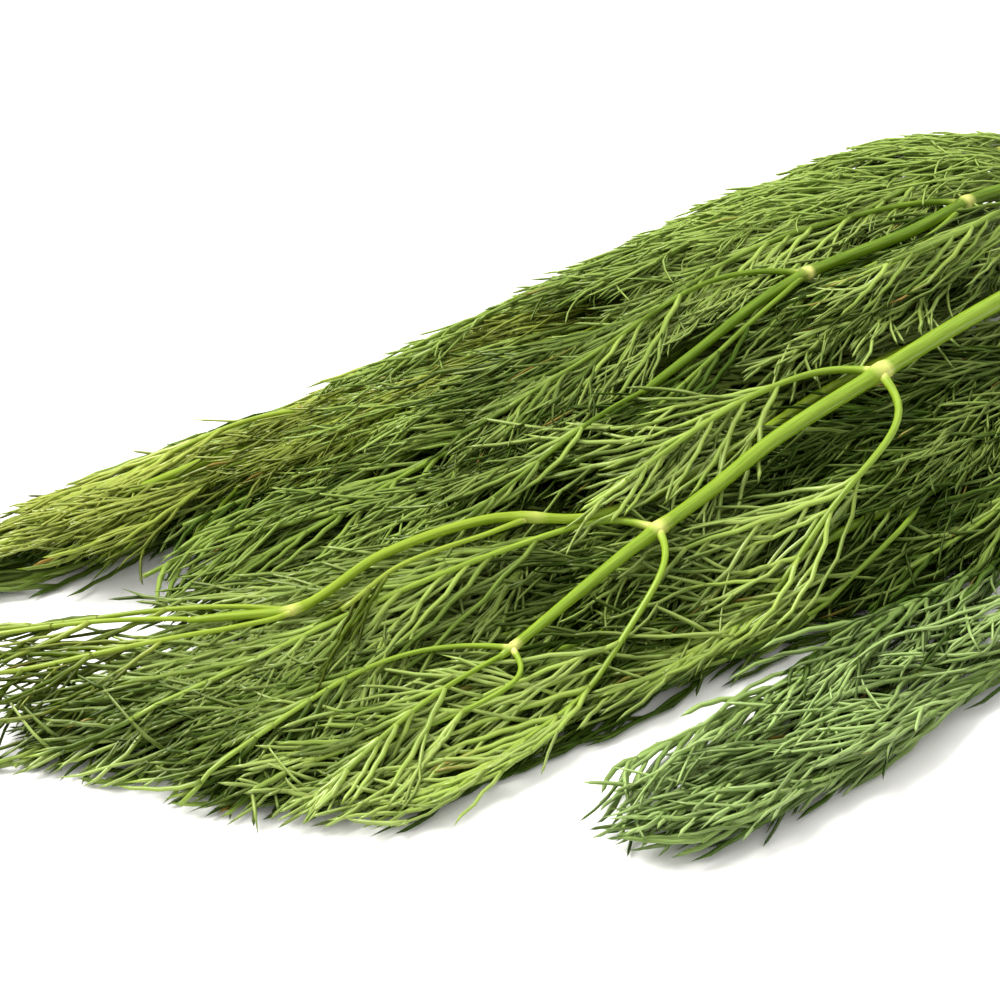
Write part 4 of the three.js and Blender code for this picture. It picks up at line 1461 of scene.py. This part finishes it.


# ---- the bunch ----


# The low tones of stems that lie under others, such as sprig_near_cover, sprig_near_low and
# sprig_middle_low, are painted shade of the heap's depth.
SPRIGS = (
    SprigPlan(
        "sprig_top", Kind.FRESH, 2.3,
        ((-49.5, -54.6, 3), (-5, -53.5, 3), (27, -54, 3), (60, -55, 3), (99, -54, 3),
         (150, -52, 3), (200, -51, 3), (250, -52, 3)),
        leaves=(
            LeafPlan(138, 1, 74, 22, 14, 60, rest=0.15, ceiling=0.35),
            LeafPlan(60, 1, 64, 10.5, 6, 70, rest=0.7, ceiling=0.5),
            LeafPlan(60, -1, 84, 20, 8, 60, rest=0.7),
            LeafPlan(-5, 1, 106, 9, 3, 90, drift=0.27, rest=0.2, ceiling=0.3, bare=0.15),
            LeafPlan(-5, -1, 74, 12, 6, 40, drift=0.04),
            LeafPlan(-46, 1, 68, 12, 9, 40, drift=0.1, tone=-0.25),
            LeafPlan(-46, -1, 50, 11, 3, 30, drift=-0.4, rest=0.15, tone=-0.22),
        ),
        tip_leaf=45, rib_spacing=12, tone=0.98, girth=1.25, openness=1.55, ceiling=0.5, combing=0.15,
        inset=-4.0, tip_tone=-0.25, stem_tone=0.56, covered=False,
    ),
    SprigPlan(
        "sprig_back", Kind.FRESH, 1.8,
        ((18, -25, 3), (36, -24, 3.1), (57, -22, 3.2), (73, -21.5, 3.2), (105, -24.5, 3.2),
         (136, -24, 3.2), (190, -35, 3.1), (247, -44, 3)),
        leaves=(
            LeafPlan(126, 1, 82, 13, 9, 50, drift=0.04, rest=0.5),
            LeafPlan(73, 1, 78, 14, 9, 50, drift=0.05, rest=0.5, tone=-0.1),
            LeafPlan(186, -1, 100, 12, 12, 50, rest=0.8, tone=0.25),
            # These two leaves lie low under the stem, and their low tones paint the shade in the valley
            # there.
            LeafPlan(126, -1, 66, 4.5, 14, 60, rest=0.2, tone=-0.25),
            LeafPlan(73, -1, 74, 4.5, 14, 60, rest=0.2, tone=-0.35),
            LeafPlan(186, 1, 80, 14, 9, 50),
        ),
        leaf_length=86, tone=0.66, tip_tone=-0.4, stem_tone=0.24, ceiling=0.4, combing=0.3,
        covered=False, near_edge=BACK_NEAR,
    ),
    SprigPlan(
        "stalk_pale", Kind.YELLOW, 1.2,
        ((-90, -8, 3.1), (-82, -15, 3.1), (-73, -22, 3.1), (-52, -23, 3.1), (-31, -31, 3.1),
         (-13, -42, 2.7), (20, -44, 2.1), (60, -43, 2), (100, -45, 2), (150, -47, 2),
         (200, -48, 2), (243, -48, 2)),
        leaves=(
            LeafPlan(-24, -1, 44, 7, 9, 50),
            LeafPlan(-74, 1, 56, 2, 6, 40, drift=0.02),
            LeafPlan(-74, -1, 56, 5, 6, 40, drift=0.1),
        ),
        tip_leaf=44, tone=0.26, tip_tone=-0.1, ceiling=0.5, combing=0.25, covered=False,
        far_edge=CLEFT_NEAR,
    ),
    SprigPlan(
        "sprig_far_top", Kind.DEEP, 1.6,
        ((48, 27, 3), (75, 20, 3), (110, 12, 3), (150, -2, 3), (200, -20, 3), (245, -36, 3)),
        nodes=(162, 112, 200), leaf_length=80, tone=1.0,
    ),
    SprigPlan(
        "sprig_front", Kind.BLUE, 2.0,
        ((0, -102, 0), (50, -102, 0), (100, -97, 0), (150, -83, 0), (200, -68, 0), (249, -58, 0)),
        nodes=(96, 56, 20), leaf_length=84, loft=10, rib_spacing=13, spread=10,
        partners=4, tone=0.02, tip_tone=0.9, girth=1.2, openness=1.2, inset=-2.0,
        near_edge=FRONT_NEAR, far_edge=FRONT_FAR,
    ),
    SprigPlan(
        "sprig_near_cover", Kind.DEEP, 1.4,
        ((-8, -65, 2), (30, -72, 2), (70, -77, 2), (110, -75, 2), (150, -68, 2),
         (200, -60, 2), (250, -56, 2)),
        nodes=(150, 104, 52), leaf_length=80, tone=-0.26, tip_tone=0.9, girth=1.15,
    ),
    SprigPlan(
        "sprig_middle_cover", Kind.DEEP, 1.4,
        ((-44, 9, 2), (-30, 7, 2), (0, 3, 2), (50, -2, 2), (100, -8, 2), (150, -19, 2),
         (200, -32, 2), (246, -41, 2)),
        nodes=(70, 6, 168), leaf_length=84, tip_leaf=42, tip_tone=0.36, tone=0.02, early=1,
        far_edge=CLEFT_NEAR,
    ),
    SprigPlan(
        "sprig_far_cover", Kind.YELLOW, 1.6,
        ((-74, 46, 2), (-50, 43, 2), (0, 34, 2), (50, 26, 2), (100, 17, 2), (150, 3, 2),
         (200, -14, 2), (250, -33, 2)),
        nodes=(105, 42, -18), leaf_length=84, tone=0.42, tip_tone=0.4, near_edge=CLEFT_FAR,
    ),
    SprigPlan(
        "sprig_near_inner", Kind.DEEP, 1.5,
        ((-60, -50, 1), (-20, -57, 1), (30, -63, 1), (80, -67, 1), (150, -60, 1),
         (200, -56, 1), (252, -53, 1)),
        nodes=(66, 0, 125), leaf_length=86, tip_leaf=48, rib_spacing=22,
        early=1, tone=0.05, tip_tone=0.35, girth=1.3,
    ),
    SprigPlan(
        "sprig_far_edge", Kind.DEEP, 1.5,
        ((-46, 50, 1), (-20, 48, 1), (30, 42, 1), (80, 32, 1), (115, 21, 1), (150, 6, 1),
         (200, -19, 1), (248, -39, 1)),
        nodes=(100, 30, 165), leaf_length=88, tone=0.4, girth=1.1, near_edge=CLEFT_FAR,
    ),
    SprigPlan(
        "sprig_middle_inner", Kind.FRESH, 1.9,
        ((-76, -9, 1), (-60, -10, 1), (0, -12, 1), (50, -15, 1), (100, -20, 1), (150, -28, 1),
         (200, -38, 1), (244, -46, 1)),
        nodes=(20, 100, 170), leaf_length=90, rib_spacing=22,
        early=1, tone=0.55, tip_tone=-0.3, girth=1.3, far_edge=CLEFT_NEAR,
    ),
    SprigPlan(
        "sprig_near_low", Kind.DEEP, 1.9,
        ((-40, -56, 0), (0, -63, 0), (50, -75, 0), (100, -76, 0), (150, -68, 0),
         (200, -58, 0), (245, -51, 0)),
        nodes=(30, 95), leaf_length=86, rib_spacing=22, tip_leaf=46,
        early=1, tone=-0.1, girth=1.4,
    ),
    SprigPlan(
        "sprig_middle_low", Kind.DEEP, 2.0,
        ((-72, -32, 0), (-50, -36, 0), (0, -40, 0), (50, -42, 0), (100, -42, 0),
         (150, -43, 0), (200, -44, 0), (251, -44, 0)),
        nodes=(10, 80, 150), leaf_length=86, rib_spacing=22, tip_leaf=46,
        early=1, tone=-0.1, girth=1.5, inset=5.0,
    ),
    SprigPlan(
        "sprig_far_low", Kind.DEEP, 2.1,
        ((-66, 36, 0), (-40, 30, 0), (0, 22, 0), (50, 12, 0), (100, 2, 0), (150, -12, 0),
         (200, -27, 0), (247, -37, 0)),
        nodes=(45, 135), leaf_length=90, rib_spacing=22, tip_leaf=44,
        early=1, tone=0.05, girth=1.5, inset=4.0, near_edge=CLEFT_FAR,
    ),
)


@dataclass(frozen=True)
class Bunch:
    """The leafy stems, listed from the top of the heap down."""

    sprigs: tuple[SprigPlan, ...] = SPRIGS

    def shift(self) -> Array:
        """Find where the plan lies in the frame, from the cut end of the first stem.

        Returns:
            The way from the plan's origin to the frame's own, in millimetres.
        """
        plan = self.sprigs[0]
        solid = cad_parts[plan.name]
        places = np.array([vertex.co for vertex in solid.data.vertices]) / MM
        end = places[places[:, 0] > places[:, 0].max() - 1.0]
        middle = (end.min(0) + end.max(0)) / 2
        stem = Stem(plan)
        shift = middle - stem.points(stem.cut)
        shift[2] = 0.0
        return shift

    def build(self, shift: Array) -> None:
        """Grow all the stems and midribs in turn, then model each leafy stem.

        Args:
            shift: Where the plan lies in the frame, in millimetres.
        """
        neighbours = Neighbours()
        grown = [Sprig(plan, owner, neighbours, shift) for owner, plan in enumerate(self.sprigs)]
        for sprig in grown:
            sprig.grow_midribs()
        for sprig in grown:
            sprig.build()


# ---- the studio ----


@dataclass(frozen=True)
class Studio:
    """A plain pale floor, soft light from above and behind, and the camera."""

    aim: Array
    floor_size: float = 6.0
    azimuth: float = -42.0
    elevation: float = 35.0
    distance: float = 0.556
    lens: float = 90.0
    sensor: float = 36.0
    surround: float = 0.5
    key: float = 4.4
    key_from: tuple[float, float, float] = (-0.4, 0.75, 1.1)
    softness: float = 32.0
    dome: float = 2.3
    dome_from: tuple[float, float, float] = (0.0, 0.1, 1.0)
    dome_width: float = 130.0

    def back(self) -> Vector:
        """Work out where the camera stands.

        Returns:
            The direction from what it looks at to the camera.
        """
        turn = math.radians(self.azimuth)
        rise = math.radians(self.elevation)
        level = math.cos(rise)
        return Vector((math.sin(turn) * level, -math.cos(turn) * level, math.sin(rise)))

    def build(self) -> None:
        """Make the floor, the lights and the camera."""
        self.build_floor()
        self.build_lights()
        self.build_camera()

    def build_floor(self) -> None:
        """Make the floor, just under what lies on it."""
        shape = bmesh.new()
        bmesh.ops.create_grid(shape, x_segments=8, y_segments=8, size=self.floor_size / 2)
        bmesh.ops.translate(shape, verts=shape.verts, vec=(0, 0, -0.0002))
        mesh = bpy.data.meshes.new("floor")
        shape.to_mesh(mesh)
        shape.free()
        floor = placed("floor", mesh)
        paint = bpy.data.materials.new("floor_paint")
        paint.use_nodes = True
        skin = paint.node_tree.nodes["Principled BSDF"]
        skin.inputs["Base Color"].default_value = (0.93, 0.925, 0.915, 1)
        skin.inputs["Roughness"].default_value = 0.7
        mesh.materials.append(paint)

    def build_lights(self) -> None:
        """Make a pale surround, one soft light high over the far side, and a wide one above."""
        world = bpy.data.worlds.new("studio")
        bpy.context.scene.world = world
        world.use_nodes = True
        sky = world.node_tree.nodes["Background"]
        sky.inputs["Color"].default_value = (1.0, 1.0, 1.0, 1)
        sky.inputs["Strength"].default_value = self.surround
        self.build_light("key", self.key, self.softness, self.key_from)
        self.build_light("dome", self.dome, self.dome_width, self.dome_from)

    def build_light(
        self, name: str, energy: float, width: float, comes_from: tuple[float, float, float]
    ) -> None:
        """Make one distant light.

        Args:
            name: Its name.
            energy: Its strength.
            width: How wide it is in the sky, in degrees.
            comes_from: The direction that it comes from.
        """
        light = bpy.data.lights.new(name, "SUN")
        light.angle = math.radians(width)
        light.energy = energy
        light.color = (1.0, 0.985, 0.95)
        placed(name, light).rotation_euler = Vector(comes_from).to_track_quat("Z", "Y").to_euler()

    def build_camera(self) -> None:
        """Make the camera."""
        lens = bpy.data.cameras.new("camera")
        lens.lens = self.lens
        lens.sensor_width = self.sensor
        camera = placed("camera", lens)
        camera.location = Vector(self.aim) * MM + self.back() * self.distance
        camera.rotation_euler = self.back().to_track_quat("Z", "Y").to_euler()
        scene = bpy.context.scene
        scene.camera = camera
        scene.view_settings.view_transform = "Standard"
        scene.view_settings.look = "None"


MATERIALS: dict[Kind, Material] = {}


def main() -> None:
    """Build the bunch and the studio."""
    logging.basicConfig(level=logging.INFO, format="%(name)s: %(message)s", stream=sys.stdout)
    for kind in Kind:
        MATERIALS[kind] = FINISHES[kind].material()
    bunch = Bunch()
    shift = bunch.shift()
    LOG.info("the plan lies %s mm from the frame's origin", np.round(shift, 3))
    bunch.build(shift)
    Studio(aim=shift).build()


if __name__ == "__main__":
    main()
